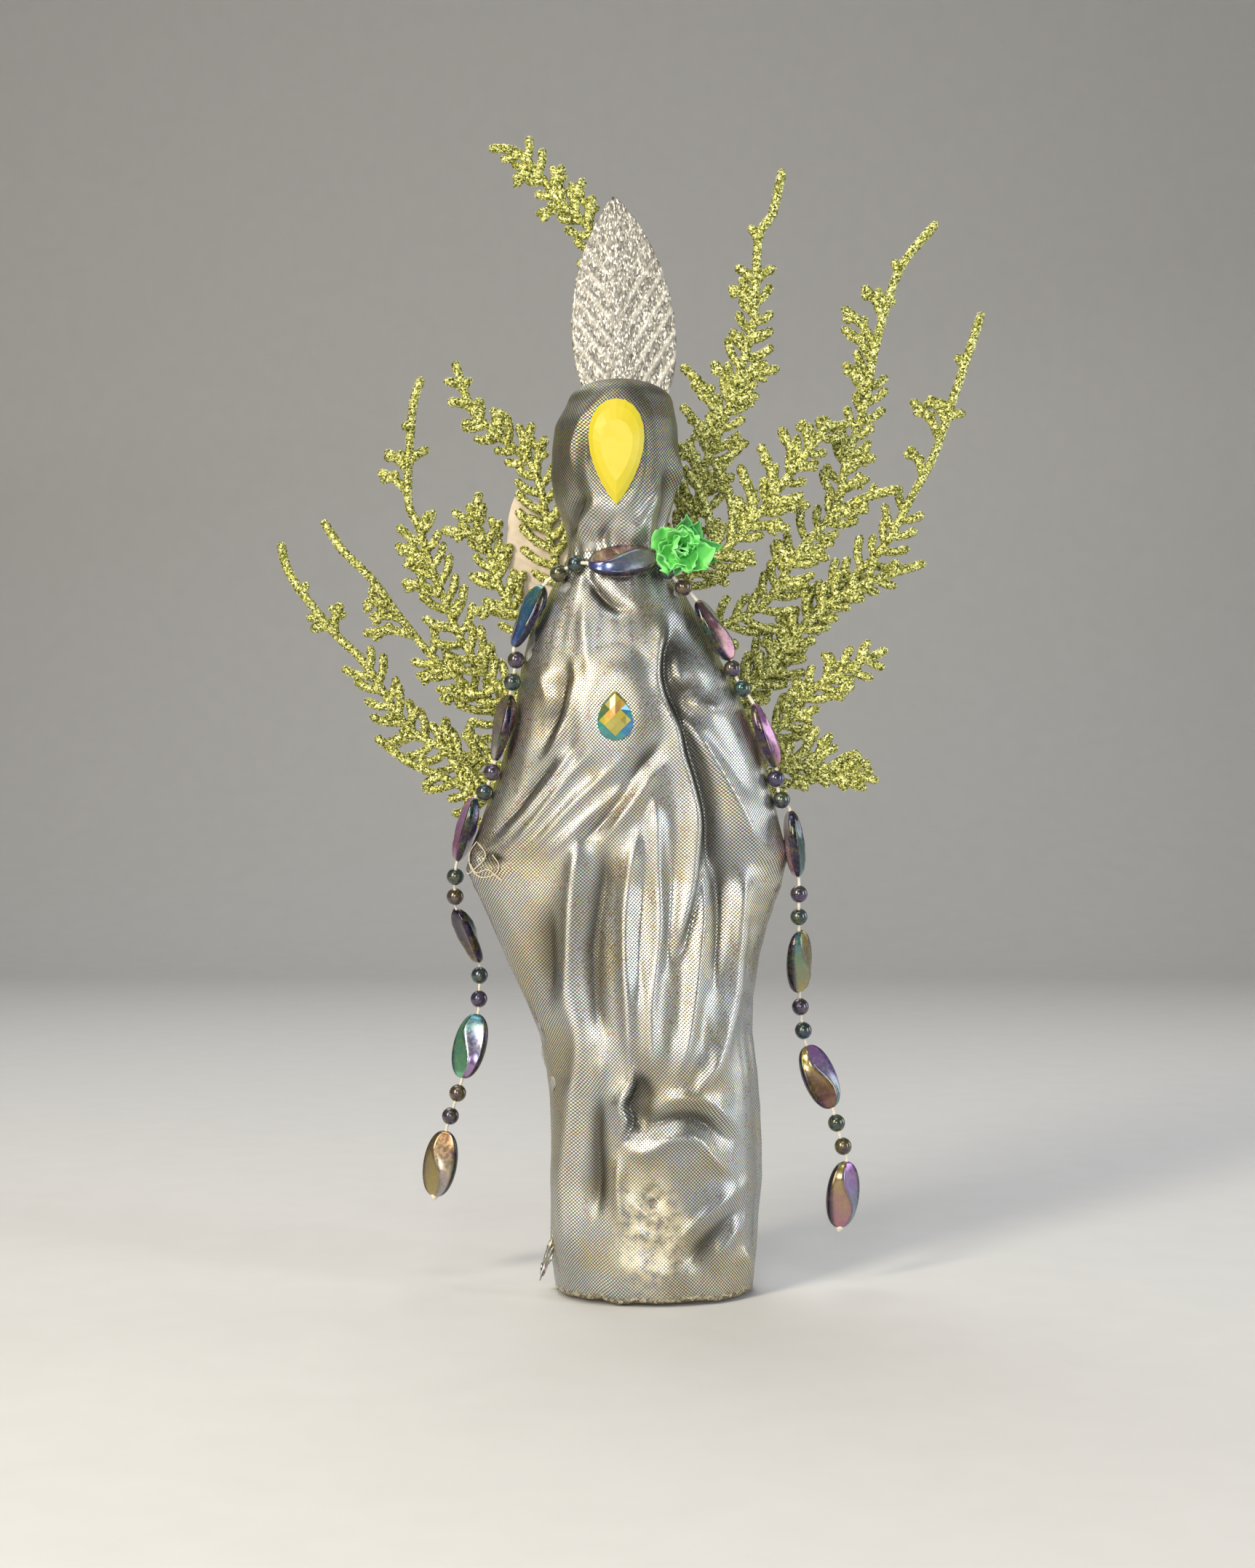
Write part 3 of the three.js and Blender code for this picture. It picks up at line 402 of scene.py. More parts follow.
def curve_points(points, step):
    """Points along a smooth curve through some points, about a step apart."""
    points = np.array(points, float)
    padded = np.vstack([2 * points[0] - points[1], points, 2 * points[-1] - points[-2]])
    made = []
    for a, b, c, d in zip(padded, padded[1:], padded[2:], padded[3:]):
        count = max(int(np.linalg.norm(c - b) / step), 1)
        for t in np.arange(count) / count:
            made.append(0.5 * (2 * b + (c - a) * t + (2 * a - 5 * b + 4 * c - d) * t**2
                               + (3 * b - a - 3 * c + d) * t**3))
    return np.array([*made, points[-1]])


def tubes(name, routes, sides=2):
    """One mesh of round tubes: each route is its points and the radius at each of them."""
    data = bpy.data.curves.new(name, "CURVE")
    data.dimensions = "3D"
    data.bevel_depth = 1.0
    data.bevel_resolution = sides
    data.use_fill_caps = True
    for points, radii in routes:
        spline = data.splines.new("POLY")
        spline.points.add(len(points) - 1)
        spline.points.foreach_set("co", np.column_stack([points, np.ones(len(points))]).ravel())
        spline.points.foreach_set("radius", np.array(radii, float))
    shape = add_object(name + "_curve", data)
    bpy.context.view_layer.update()
    mesh = bpy.data.meshes.new_from_object(shape.evaluated_get(bpy.context.evaluated_depsgraph_get()))
    bpy.data.objects.remove(shape)
    return add_object(name, mesh)


print("a curve of 100 mm at 1 mm has", len(curve_points([(0, 0, 0), (100, 0, 0)], 1)), "points")

# %% [markdown]
# ## Metallic cloth
# The cloth is a lame: silver dots of foil on a dark olive ground, in a square lattice set at 45 degrees.
# The dots flash in small spectral colours, so each cell of the lattice gets its own tint and polish. The
# lattice lies in a UV map in metres, so the dots keep their size wherever the cloth goes. Each point also
# carries `crest`, how high a fold lifts it: hollows get painted shade and crests a painted highlight. A
# painted pool of warm light lies above the hem. The head's cloth is the same lame in darker tones, painted
# shade, and is painted lighter towards the neck, where more light falls.

# %% Metallic cloth
DOT_PITCH = 0.7 * MM
DOT_EDGE = (0.47, 0.33)
DOT_RELIEF = 0.06 * MM
FLASH_SHARE = 0.34
SPECTRUM = ((0.0, (0.95, 0.45, 0.5)), (0.25, (0.95, 0.85, 0.4)), (0.5, (0.5, 0.9, 0.55)),
            (0.75, (0.45, 0.65, 1.0)), (1.0, (0.8, 0.5, 0.95)))
# Painted shade in the hollows of folds, by `crest`
HOLLOWS, SHADE_STRENGTH = (0.52, 0.16), 0.88
# Painted highlight along the crests of folds
CRESTS, HIGHLIGHT_STRENGTH = (0.78, 1.0), 0.45
SHADE_GROUND = (0.02, 0.018, 0.012)
HEM_BAND = 3.5 * MM
HEM_CRUMBS = ((0.0, (0.05, 0.04, 0.02)), (0.45, (0.25, 0.2, 0.1)), (0.9, (0.9, 0.82, 0.6)))
# Painted light on the head's cloth below a height
LIGHT_SILVER, LIGHT_GROUND = (0.7, 0.7, 0.67), (0.16, 0.15, 0.12)
SHINE_FADE = 15 * MM
# Tone of the painted shade in hollows
SHADE_TONE = (0.09, 0.082, 0.06)
# Tones of the painted highlight on crests
HIGHLIGHT_SILVER, HIGHLIGHT_GROUND = (0.97, 0.96, 0.92), (0.2, 0.19, 0.16)
# Painted pool of warm light above the hem, where the cloth bulges towards the lamp
POOL_GOLD, POOL_GROUND = (1.0, 0.93, 0.72), (0.42, 0.36, 0.22)
POOL_PLACE = ((-2 * MM, 11 * MM), (20 * MM, 18 * MM))   # middle and half width, height and reach
POOL_DEPTH = (-4 * MM, -10 * MM)


def lame_finish(name, silver, gold, ground, dullness, lit_below=0.0, shine=1.0):
    """Dotted cloth with painted shade in hollows, a painted highlight on crests and painted light below a
    height.
    """
    finish = Finish(name)
    u, v, _ = finish.parts(finish.place("UV"))
    along = (u + v) * (math.sqrt(0.5) / DOT_PITCH)
    across = (u - v) * (math.sqrt(0.5) / DOT_PITCH)
    dx = along.math("FRACT") - 0.5
    dy = across.math("FRACT") - 0.5
    dot = ((dx * dx + dy * dy) ** 0.5).between(*DOT_EDGE)
    cell = finish.add("CombineXYZ", inputs={0: along.math("FLOOR"), 1: across.math("FLOOR")})
    flash = finish.add("TexWhiteNoise", {"noise_dimensions": "2D"}, {"Vector": cell}, "Value")
    patches = finish.noise(55, 3).between(0.42, 0.66)
    # Painted light below a height, for the head's cloth
    painted_light = v.between(lit_below, lit_below - SHINE_FADE)
    foil = finish.mix(painted_light, finish.mix(patches, silver, gold), LIGHT_SILVER)
    foil = finish.mix(FLASH_SHARE, foil, finish.ramp(flash, *SPECTRUM))
    crest = finish.attribute("crest")
    # Painted shade in hollows
    painted_shade = crest.between(*HOLLOWS) * SHADE_STRENGTH
    # Painted highlight on crests
    painted_highlight = crest.between(*CRESTS) * (HIGHLIGHT_STRENGTH * shine)
    foil = finish.mix(painted_shade, foil, SHADE_TONE)
    foil = finish.mix(painted_highlight, foil, HIGHLIGHT_SILVER)
    x, y, z = finish.parts(finish.place())
    (middle, half), (height, reach) = POOL_PLACE
    dx, dz = (x - middle) * (1 / half), (z - height) * (1 / reach)
    # Painted pool of warm light, crumbled by noise
    light_pool = (dx * dx + dz * dz).between(1.3, 0.1) * finish.noise(420, 4, 0.7).between(0.38, 0.6)
    light_pool = light_pool * y.between(*POOL_DEPTH)
    foil = finish.mix(light_pool, foil, POOL_GOLD)
    ground = finish.mix(painted_shade, ground, SHADE_GROUND)
    ground = finish.mix(painted_highlight, ground, HIGHLIGHT_GROUND)
    ground = finish.mix(painted_light, ground, LIGHT_GROUND)
    ground = finish.mix(light_pool, ground, POOL_GROUND)
    hem = v.between(HEM_BAND, 0.4 * HEM_BAND)
    crumbs = finish.ramp(finish.cells(1500, "Color"), *HEM_CRUMBS)
    color = finish.mix(hem * 0.8, finish.mix(dot, ground, foil), crumbs)
    roughness = dullness - dot * 0.14 + flash * 0.12 - painted_light * 0.12 + light_pool * 0.2
    return finish.set(Base_Color=color, Metallic=0.7 + dot * 0.25, Roughness=roughness,
                      Normal=finish.bump(dot, DOT_RELIEF, 0.4))


LAME = lame_finish("lame", (0.77, 0.78, 0.78), (0.82, 0.71, 0.47), (0.085, 0.08, 0.062), 0.4)
# The head's cloth: the same lame in darker tones, painted shade, with painted light towards the neck
SHADED_HEAD_LAME = lame_finish("shaded_head_lame", (0.215, 0.195, 0.125), (0.24, 0.195, 0.095), (0.05, 0.043, 0.026),
                        0.55, lit_below=234 * MM, shine=0.25)
print("two cloth finishes")

# %% [markdown]
# ## Folds of the wrap
# The wrap is metallic cloth that was pulled into folds and glued by hand. A cloth simulation would put
# its folds elsewhere, so they are laid one by one where the photograph shows them. This list gives the
# route of each.

# %% Folds of the wrap
# Kind, rise and half width of each fold, then its route as x and height over the table; millimetres
FOLDS = {
    # Chest panel and right side
    "panel_edge": ("edge", 2.4, 3.6, [
        (1.8, 196), (1.2, 187), (0.4, 178.5), (0.8, 174), (2.6, 168.5), (5.7, 161), (7.1, 154.5),
        (9.3, 148), (10.6, 142), (11.2, 135.5), (10.6, 126), (9.6, 117), (7.1, 106.5), (4.9, 95)]),
    "panel_shadow": ("crease", 1.5, 3.6, [
        (3, 186), (3.6, 174), (8, 163), (11.6, 152), (13.6, 142), (14.2, 130), (13, 118)]),
    "right_ridge": ("ridge", 2.2, 3.2, [
        (1.5, 171.5), (6, 167), (12.8, 158), (18.5, 149), (23.4, 139.6), (27.9, 129), (31, 123)]),
    "right_plane": ("crease", 0.8, 4.0, [(14, 163), (21, 151), (27, 138)]),
    "right_band": ("ridge", 1.2, 2.4, [(7, 170), (12, 168.6), (19.9, 166.5)]),
    "right_patch": ("ridge", 1.3, 2.6, [(4.6, 184), (6.4, 178), (8.2, 172)]),
    "right_pocket": ("crease", 1.6, 2.6, [(2.6, 188), (3.2, 181), (4, 174)]),
    # Left chest and neck
    "left_step": ("edge", 1.8, 3.2, [
        (-33, 150), (-28.5, 157), (-25.3, 163.6), (-23.3, 171), (-22.6, 177), (-24.2, 184)]),
    "left_patch": ("ridge", 1.2, 3.0, [(-33.5, 180), (-31, 172), (-29, 165)]),
    "neck_arc": ("crease", 1.6, 1.9, [
        (-20.5, 208), (-19, 204.5), (-16, 199.7), (-10.4, 195.4), (-4.5, 196.2)]),
    "gold_band": ("ridge", 1.0, 3.4, [(-20.8, 200), (-19.5, 186), (-18.3, 172)]),
    # Fan from the left elbow
    "fan_0": ("crease", 1.2, 2.0, [(-48, 127), (-42.4, 134), (-35.3, 144), (-30.4, 151), (-26.5, 158)]),
    "fan_1": ("ridge", 1.2, 2.0, [(-46.8, 125), (-39.5, 135), (-32.5, 143.5), (-25.5, 152), (-19, 162)]),
    "fan_2": ("ridge", 1.2, 2.0, [(-44, 123), (-36.7, 131.8), (-28.2, 143), (-21.8, 151), (-12, 161)]),
    "fan_3": ("ridge", 1.2, 2.2, [(-40, 122), (-31, 131.5), (-23.3, 140), (-14.7, 148), (-3, 159.5)]),
    "fan_4": ("ridge", 1.1, 2.4, [(-35, 122), (-25, 131), (-19, 136.5), (-11.8, 142.4), (0, 153)]),
    "fan_valley": ("crease", 1.6, 2.6, [(-24, 126), (-11.8, 139.5), (-4, 151.5), (2, 158.5), (6, 160.5)]),
    "fan_5": ("ridge", 1.4, 2.6, [(-17, 127), (-8.5, 138), (-1, 148.5), (5, 155.5)]),
    "elbow_pocket": ("crease", 1.2, 1.6, [(-49, 124), (-45, 125.5), (-41, 124.5)]),
    # Starburst under the fan
    "star_0": ("ridge", 2.0, 3.0, [
        (-21.9, 135), (-21.9, 129), (-23.9, 110), (-24.7, 88), (-21.9, 76), (-21.5, 69), (-22.9, 56),
        (-24.7, 41.7), (-25.8, 29.4), (-23.9, 8)]),
    "star_0_crease": ("crease", 1.3, 3.4, [(-29.5, 119), (-30, 106), (-29.2, 94.7), (-28, 80)]),
    "star_1_crease": ("crease", 1.5, 3.6, [
        (-15, 134), (-14.1, 124), (-15.5, 112), (-17, 101), (-16.5, 84), (-14.5, 70)]),
    "star_1": ("ridge", 0.8, 2.2, [(-14, 74), (-15, 66), (-16.6, 59), (-18, 51)]),
    "star_2": ("ridge", 2.0, 2.8, [
        (-4.5, 136), (-6.8, 124.4), (-8.6, 110), (-8.6, 96), (-7.8, 82.5), (-7.4, 74), (-6.8, 62.7)]),
    "star_3_crease": ("crease", 0.9, 2.2, [(-3, 128), (-3.6, 112), (-4.6, 96), (-4.2, 82)]),
    "star_3": ("ridge", 2.0, 2.6, [
        (-1, 146), (0, 137.7), (0.4, 122.6), (0.8, 103.6), (-1.4, 84.6), (-1, 69.2), (0.4, 58.8)]),
    "star_4_crease": ("crease", 1.2, 2.4, [(5, 132), (5, 118), (4, 104), (3, 90)]),
    "star_5": ("ridge", 2.1, 2.8, [
        (12, 148), (12.3, 136), (13.3, 113), (11.4, 92), (8.6, 73), (4.7, 60.7)]),
    "star_5_crease": ("crease", 1.5, 3.4, [(17.6, 128), (18.6, 112), (17.4, 96), (15.6, 84)]),
    "star_7": ("ridge", 2.3, 3.2, [
        (25.5, 125), (24.7, 115), (24.1, 100.7), (21.9, 82.5), (18, 70.3), (13.3, 61.7), (8.6, 56)]),
    # Skirt and pouch
    "skirt_crease": ("crease", 1.7, 3.0, [(-15, 68), (-16, 58), (-16.4, 46), (-16, 34), (-17, 22)]),
    "zigzag": ("edge", 1.8, 2.8, [
        (-7.4, 72), (-6.8, 62.7), (-9.6, 56), (-8.2, 52), (-10, 46.4), (-8.4, 43.6)]),
    "dark_pocket": ("crease", 1.8, 2.8, [(-3.4, 66), (-4, 58), (-4.6, 47)]),
    "pouch": ("ridge", 1.9, 3.0, [
        (-12, 45.5), (-9, 44.6), (-3.3, 43.2), (2.9, 46.6), (8, 47.4), (12.3, 45.6), (17.4, 39.5),
        (24.2, 34)]),
    "pouch_shadow": ("crease", 1.6, 2.6, [
        (-7, 49), (-1, 50.5), (6, 53), (12, 52.4), (17.4, 49), (22, 42.5)]),
    "pouch_rim": ("ridge", 1.2, 2.4, [(-2, 55), (6, 58), (14, 57), (20, 52), (25.4, 43)]),
    "pouch_side": ("ridge", 1.0, 2.2, [(-9.4, 45), (-10.6, 36), (-9.8, 26), (-7, 18)]),
    "bright_bulge": ("ridge", 1.5, 7.0, [(-14, 13), (-5, 10.5), (4, 9), (14, 10)]),
    "crumple_1": ("ridge", 0.9, 1.8, [(-9, 32), (-4, 27), (1, 24), (6, 24.5)]),
    "crumple_2": ("ridge", 0.8, 1.6, [(-7, 23), (-2.5, 20), (3, 19)]),
    "crumple_3": ("crease", 0.8, 1.6, [(-3, 35), (-1, 31), (3, 28.5)]),
    "slant": ("ridge", 1.3, 2.6, [(27.5, 35.6), (17.5, 28), (9.8, 21.8), (2, 14)]),
    "slant_crease": ("crease", 1.2, 3.0, [(28, 30), (19, 22), (11, 14.5), (6, 8)]),
    "corner": ("ridge", 0.9, 2.6, [(28, 26), (21, 18), (15, 9)]),
    "hem_right": ("ridge", 1.2, 2.6, [(23.4, 16), (27, 9), (28.6, 4)]),
    # Head
    "head_crease": ("crease", 2.4, 1.9, [(-17, 228), (-20, 227), (-23, 222), (-24.6, 214)]),
    "head_left": ("ridge", 2.6, 2.4, [(-22, 213), (-20, 220), (-14.5, 226), (-9, 229)]),
    "head_middle_crease": ("crease", 1.8, 1.9, [(-17, 212), (-13, 219), (-9.5, 224)]),
    "head_middle": ("ridge", 2.6, 2.4, [(-9, 212), (-5.5, 219), (-1.5, 226), (1, 234)]),
    "head_right_crease": ("crease", 1.5, 1.5, [(-1, 212), (1.5, 220), (3.4, 230), (3, 240)]),
    "head_pocket": ("ridge", 2.2, 1.8, [(3.6, 214), (6.4, 224), (6.2, 236), (4, 246)]),
    "head_side": ("ridge", 1.8, 2.2, [(-21.5, 230), (-23, 240), (-20, 250), (-14, 257)]),
    "chin": ("ridge", 2.2, 5.0, [(-21, 220), (-14, 219), (-6, 218.5), (2, 220)]),
    "head_fold": ("crease", 1.5, 1.8, [(-19, 232), (-19.5, 242), (-16, 252)]),
}
print(len(FOLDS), "folds")

# %% [markdown]
# ## Height of a fold
# A ridge is a rounded rise of the cloth, a crease a fall, and an edge is cloth that laps over its
# neighbour: it falls steeply on one side of its route. Folds could be sculpted, but then none of them
# could be changed alone. So a function gives the height of one fold at any place by its distance from the
# route, and fades it out at both ends.

# %% Height of a fold
CREST = 0.3                     # roundness of a fold's top
FOLD_GAIN, SLIMNESS = 1.35, 0.8
LONGEST_TAPER = 14 * MM
LAP_WIDTH, LAP_DROP, LAP_REACH = 0.6, 0.8, 2.8


def fold_height(x, z, kind, rise, width, route):
    line = curve_points(np.array(route) * MM, 2 * MM)
    away = np.full(x.shape, 1.0)
    side = np.zeros(x.shape)
    along = np.zeros(x.shape)
    length = 0.0
    for (ax, az), (bx, bz) in zip(line, line[1:]):
        dx, dz = bx - ax, bz - az
        step = math.hypot(dx, dz)
        t = np.clip(((x - ax) * dx + (z - az) * dz) / step**2, 0, 1)
        ox, oz = x - ax - t * dx, z - az - t * dz
        distance = np.hypot(ox, oz)
        nearer = distance < away
        away[nearer] = distance[nearer]
        side[nearer] = np.sign(dx * oz - dz * ox)[nearer]
        along[nearer] = length + (t * step)[nearer]
        length += step
    taper = min(0.4 * length, LONGEST_TAPER)
    fade = smoothstep(along, 0, taper) * smoothstep(length - along, 0, taper)
    share = away / (SLIMNESS * width * MM)
    profile = np.exp(CREST - np.hypot(share, CREST))
    if kind == "crease":
        profile = -profile
    elif kind == "edge":
        steep = np.exp(-((share / LAP_WIDTH) ** 2))
        lap = steep - LAP_DROP * (1 - steep) * np.exp(-((share / LAP_REACH) ** 2))
        profile = np.where(side > 0, lap, profile)
    return FOLD_GAIN * rise * MM * fade * profile


rises = [rise for _, rise, _, _ in FOLDS.values()]
print("folds rise", min(rises), "to", max(rises), "mm")

# %% [markdown]
# ## Rolling the cloth
# The cloth starts as a flat grid that is rolled round the padding. Each row follows the section of the
# solid's smooth inner face, which rays from its middle find, moved out by the cloth's depth, with its
# points closer together at the front. Rows that shrink to a dome close the head, and the sides are pulled
# out to the two elbows, which a smoothed section would round off.

# %% Rolling the cloth
CLOTH_DEPTH = 3.0 * MM
DOME_ROWS = 16
FAR = 0.3
ELBOWS = {-1: (121.5 * MM, 2.6 * MM), 1: (124.5 * MM, 1.2 * MM)}   # height and reach of the tip, by side
ELBOW_SPREAD = 4 * MM


def section(tree, z, turns=420):
    """Outline of a solid's inner face at a height, from the middle of the back round by the left."""
    left = tree.ray_cast(Vector((-FAR, 0, z)), Vector((1, 0, 0)))[0]
    right = tree.ray_cast(Vector((FAR, 0, z)), Vector((-1, 0, 0)))[0]
    axis = Vector(((left.x + right.x) / 2, 0, z))
    ring = []
    for turn in np.arange(turns) * (2 * math.pi / turns) + math.pi / 2:
        hit = tree.ray_cast(axis, Vector((math.cos(turn), math.sin(turn), 0)))[0]
        ring.append(hit.xy[:] if hit else ring[-1])
    return np.array(ring)


def front_heavy(columns):
    """Shares of the way round, closer together at the front, where the folds are fine."""
    even = np.linspace(0, 1, columns + 1)
    return even + 0.6 * np.sin(2 * math.pi * even) / (2 * math.pi)


def stretch(place, tree):
    """Pull the sides of a rolled cloth out to the solid's own outline, which sharpens the elbows."""
    depths = np.linspace(-14, 14, 15) * MM
    for row in place:
        z = row[0, 2]
        middle = (row[:, 0].max() + row[:, 0].min()) / 2
        for side in (-1, 1):
            inward = Vector((-side, 0, 0))
            rays = [tree.ray_cast(Vector((side * FAR, y, z)), inward)[0] for y in depths]
            goal = max(side * (hit.x - middle) for hit in rays if hit)
            height, tip = ELBOWS[side]
            goal += tip * math.exp(-abs(z - height) / ELBOW_SPREAD)
            away = side * (row[:, 0] - middle)
            pull = smoothstep(away / away.max(), 0.55, 1) * np.clip(goal - away.max(), -2 * MM, 5 * MM)
            row[:, 0] += side * pull


def grown_outline(ring, grow, columns):
    """An outline smoothed, moved out and divided, with its perimeter."""
    for _ in range(2):
        ring = (np.roll(ring, 1, 0) + 2 * ring + np.roll(ring, -1, 0)) / 4
    tangent = np.roll(ring, -1, 0) - np.roll(ring, 1, 0)
    tangent /= np.linalg.norm(tangent, axis=1, keepdims=True)
    ring = ring + grow * np.column_stack([tangent[:, 1], -tangent[:, 0]])
    closed = np.vstack([ring, ring[:1]])
    reach = lengths_along(closed)
    spots = reach[-1] * front_heavy(columns)
    return np.column_stack([np.interp(spots, reach, closed[:, k]) for k in (0, 1)]), reach[-1]


def rolled(tree, rows, columns, low, high, dome):
    """Places of a smooth cloth round a solid, closed by a dome if one is asked for, and row lengths."""
    heights = list(np.linspace(low, high, rows + 1))
    sections = [grown_outline(section(tree, z), CLOTH_DEPTH, columns) for z in heights]
    outlines, perimeters = map(list, zip(*sections))
    rim, around, middle = outlines[-1], perimeters[-1], outlines[-1].mean(0)
    for turn in np.radians(np.linspace(0, 90, DOME_ROWS + 1))[1:] if dome else []:
        shrink = max(math.cos(turn), 0.003)
        outlines.append(middle + (rim - middle) * shrink)
        perimeters.append(around * shrink)
        heights.append(high + dome * math.sin(turn))
    place = np.dstack([np.array(outlines), np.repeat(np.array(heights)[:, None], columns + 1, 1)])
    for _ in range(2):
        place[1:-1, :, :2] = (place[:-2] + 2 * place[1:-1] + place[2:])[:, :, :2] / 4
    return place, np.array(perimeters)[:, None]


def outward_from(place):
    tangent = np.gradient(place, axis=1)
    tangent[:, [0, -1]] = (place[:, 1] - place[:, -2])[:, None]
    tangent /= np.linalg.norm(tangent, axis=2, keepdims=True)
    return np.dstack([tangent[..., 1], -tangent[..., 0], np.zeros(tangent.shape[:2])])


print("cloth lies", CLOTH_DEPTH / MM, "mm off the inner face")

# %% [markdown]
# ## Lifting the folds
# The folds, even pleats at the back, fine gathers at the neck and two sizes of wrinkle add up to how far
# each place is lifted. A soft limit keeps folds that cross from piling up. Where a stone, the rose or a
# bead is glued on, the cloth has to stay under it, so a ray looks for a solid over each place.

# %% Lifting the folds
PLEATS, PLEAT_RISE, PLEAT_TWIST = 9, 1.3 * MM, 40 * MM
PLEAT_FOOT, PLEAT_TOP = (0, 12 * MM), (95 * MM, 130 * MM)
GATHERS, GATHER_RISE, GATHER_REACH = 17, 0.35 * MM, 8 * MM
WRINKLES = ((22 * MM, 0.5 * MM), (8 * MM, 0.12 * MM))   # size and rise
HIGHEST, LOWEST = 4.2 * MM, 2.6 * MM
FULL_FOLDS = 60 * MM            # a shorter outline has lower folds
CREST_SPAN = 5 * MM
GLUED_REACH, GLUED_GAP = 8 * MM, 0.1 * MM
STONE_SEATS = (("face_gem", 0.6), ("chest_gem", 2.2))   # how far each stone presses the cloth flat


def wrinkle(points, size, rise):
    return np.array([noise.noise(Vector(p) / size) for p in points]) * rise


glued_on = solid_tree("face_gem", "chest_gem", "rose_leaves", "garland_neck",
                      *[f"garland_{side}_{i}" for side in ("left", "right") for i in (1, 2, 3)])


def fold_lift(place, front, share, perimeters):
    """How far the folds, pleats, gathers and wrinkles lift each place of the cloth."""
    x, z = place[..., 0], place[..., 2]
    turn = 2 * math.pi * share
    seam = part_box("body_wrap")[1].z
    skirt = smoothstep(z, *PLEAT_FOOT) * (1 - smoothstep(z, *PLEAT_TOP))
    lift = PLEAT_RISE * skirt * (1 - 0.85 * front) * np.cos(PLEATS * turn + z / PLEAT_TWIST)
    lift += GATHER_RISE * np.exp(-(((z - seam) / GATHER_REACH) ** 2)) * np.cos(GATHERS * turn + 9 * share)
    for fold in FOLDS.values():
        lift += front * fold_height(x, z, *fold)
    flat = place.reshape(-1, 3)
    lift += sum(wrinkle(flat, size, rise) for size, rise in WRINKLES).reshape(lift.shape)
    limit = np.where(lift > 0, HIGHEST, LOWEST)
    lift = limit * np.tanh(lift / limit) * np.clip(perimeters / FULL_FOLDS, 0, 1)
    lift[:, -1] = lift[:, 0]
    return lift


def keep_under_glued(place, outward, lift):
    """Lower the lift where a glued-on solid lies over the cloth."""
    for spot in np.ndindex(lift.shape):
        start = Vector(place[spot] - outward[spot] * CLOTH_DEPTH)
        hit = glued_on.ray_cast(start, Vector(outward[spot]), GLUED_REACH)[0]
        if hit:
            lift[spot] = min(lift[spot], (hit - start).length - CLOTH_DEPTH - GLUED_GAP)


def rolled_cloth(node, rows, columns, low, high, dome=0.0):
    """Places, UVs in metres and crests of the folded cloth round a wrapped solid."""
    tree = solid_tree(node)
    place, perimeters = rolled(tree, rows, columns, low, high, dome)
    outward = outward_from(place)
    front = smoothstep(-outward[..., 1], 0.02, 0.35)
    share = front_heavy(columns)[None, :]
    lift = fold_lift(place, front, share, perimeters)
    keep_under_glued(place, outward, lift)
    place += outward * lift[..., None]
    # crest drives the lame's painted shade in hollows and painted highlight on crests
    crest = np.clip(0.5 + lift / CREST_SPAN, 0, 1)
    x, z = place[..., 0], place[..., 2]
    for gem, reach in STONE_SEATS:
        (x0, _, z0), (x1, back, z1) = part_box(gem)
        away = ((x - (x0 + x1) / 2) / (x1 - x0)) ** 2 + ((z - (z0 + z1) / 2) / (z1 - z0)) ** 2
        under = (1 - smoothstep(away, 0.25, reach)) * front
        place[..., 1] += (back + 0.15 * MM - place[..., 1]) * under
    if not dome:
        stretch(place, tree)
    return place, np.dstack([(share - 0.5) * perimeters, z]), crest


print(PLEATS, "pleats,", GATHERS, "gathers")

# %% [markdown]
# ## Body and head cloth
# Both wraps are made in the same way. The points of a grid go to the lifted places, its two ends are
# merged at the back, and a Solidify modifier gives the cloth its thickness. The hem is cut a little
# ragged, and the lowest rows of the head's cloth flare out over the neck.

# %% Body and head cloth
CLOTH_THICKNESS = 0.35 * MM
HEM_RAGS, HEM_LIFT, HEM_FADE = (7 * MM, 1.2 * MM), 0.5 * MM, 12
EDGE_GAP = 0.1 * MM
DOME_HEIGHT, DOME_START = 6.3 * MM, 6.5 * MM
# Drop and flare of the head cloth's lowest rows, which lap over the neck
NECK_LAP = ((1.8 * MM, 1.06), (1.5 * MM, 1.05), (1.0 * MM, 1.03), (0.5 * MM, 1.01))


def cloth_mesh(place, uv, crest):
    rows, columns = place.shape[0] - 1, place.shape[1] - 1
    bm = bmesh.new()
    bmesh.ops.create_grid(bm, x_segments=columns, y_segments=rows, size=0.5)
    weave = bm.loops.layers.uv.new("weave")
    height = bm.verts.layers.float.new("crest")
    spots = {}
    for vert in bm.verts:
        spots[vert.index] = (round((vert.co.y + 0.5) * rows), round((vert.co.x + 0.5) * columns))
    for face in bm.faces:
        for loop in face.loops:
            loop[weave].uv = uv[spots[loop.vert.index]]
    for vert in bm.verts:
        vert[height] = crest[spots[vert.index]]
        vert.co = place[spots[vert.index]]
    bmesh.ops.remove_doubles(bm, verts=bm.verts, dist=0.002 * MM)
    bmesh.ops.recalc_face_normals(bm, faces=bm.faces)
    return bm


def thicken(piece, thickness):
    shell = piece.modifiers.new("thickness", "SOLIDIFY")
    shell.thickness = thickness
    shell.offset = -1
    return piece


hem, seam = (corner.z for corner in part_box("body_wrap"))
place, uv, crest = rolled_cloth("body_wrap", 250, 190, hem + EDGE_GAP, seam - EDGE_GAP)
ragged = wrinkle(place[0] * (1, 1, 0), *HEM_RAGS) + HEM_LIFT
place[:, :, 2] += ragged[None, :] * np.linspace(1, 0, len(place))[:, None] ** HEM_FADE
bm = cloth_mesh(place, uv, crest)
body_cloth = piece_from(bm, "body_cloth", LAME, "cloth", stands_for=["body_wrap"])
thicken(body_cloth, CLOTH_THICKNESS)
print("body cloth", len(body_cloth.data.polygons), "faces")

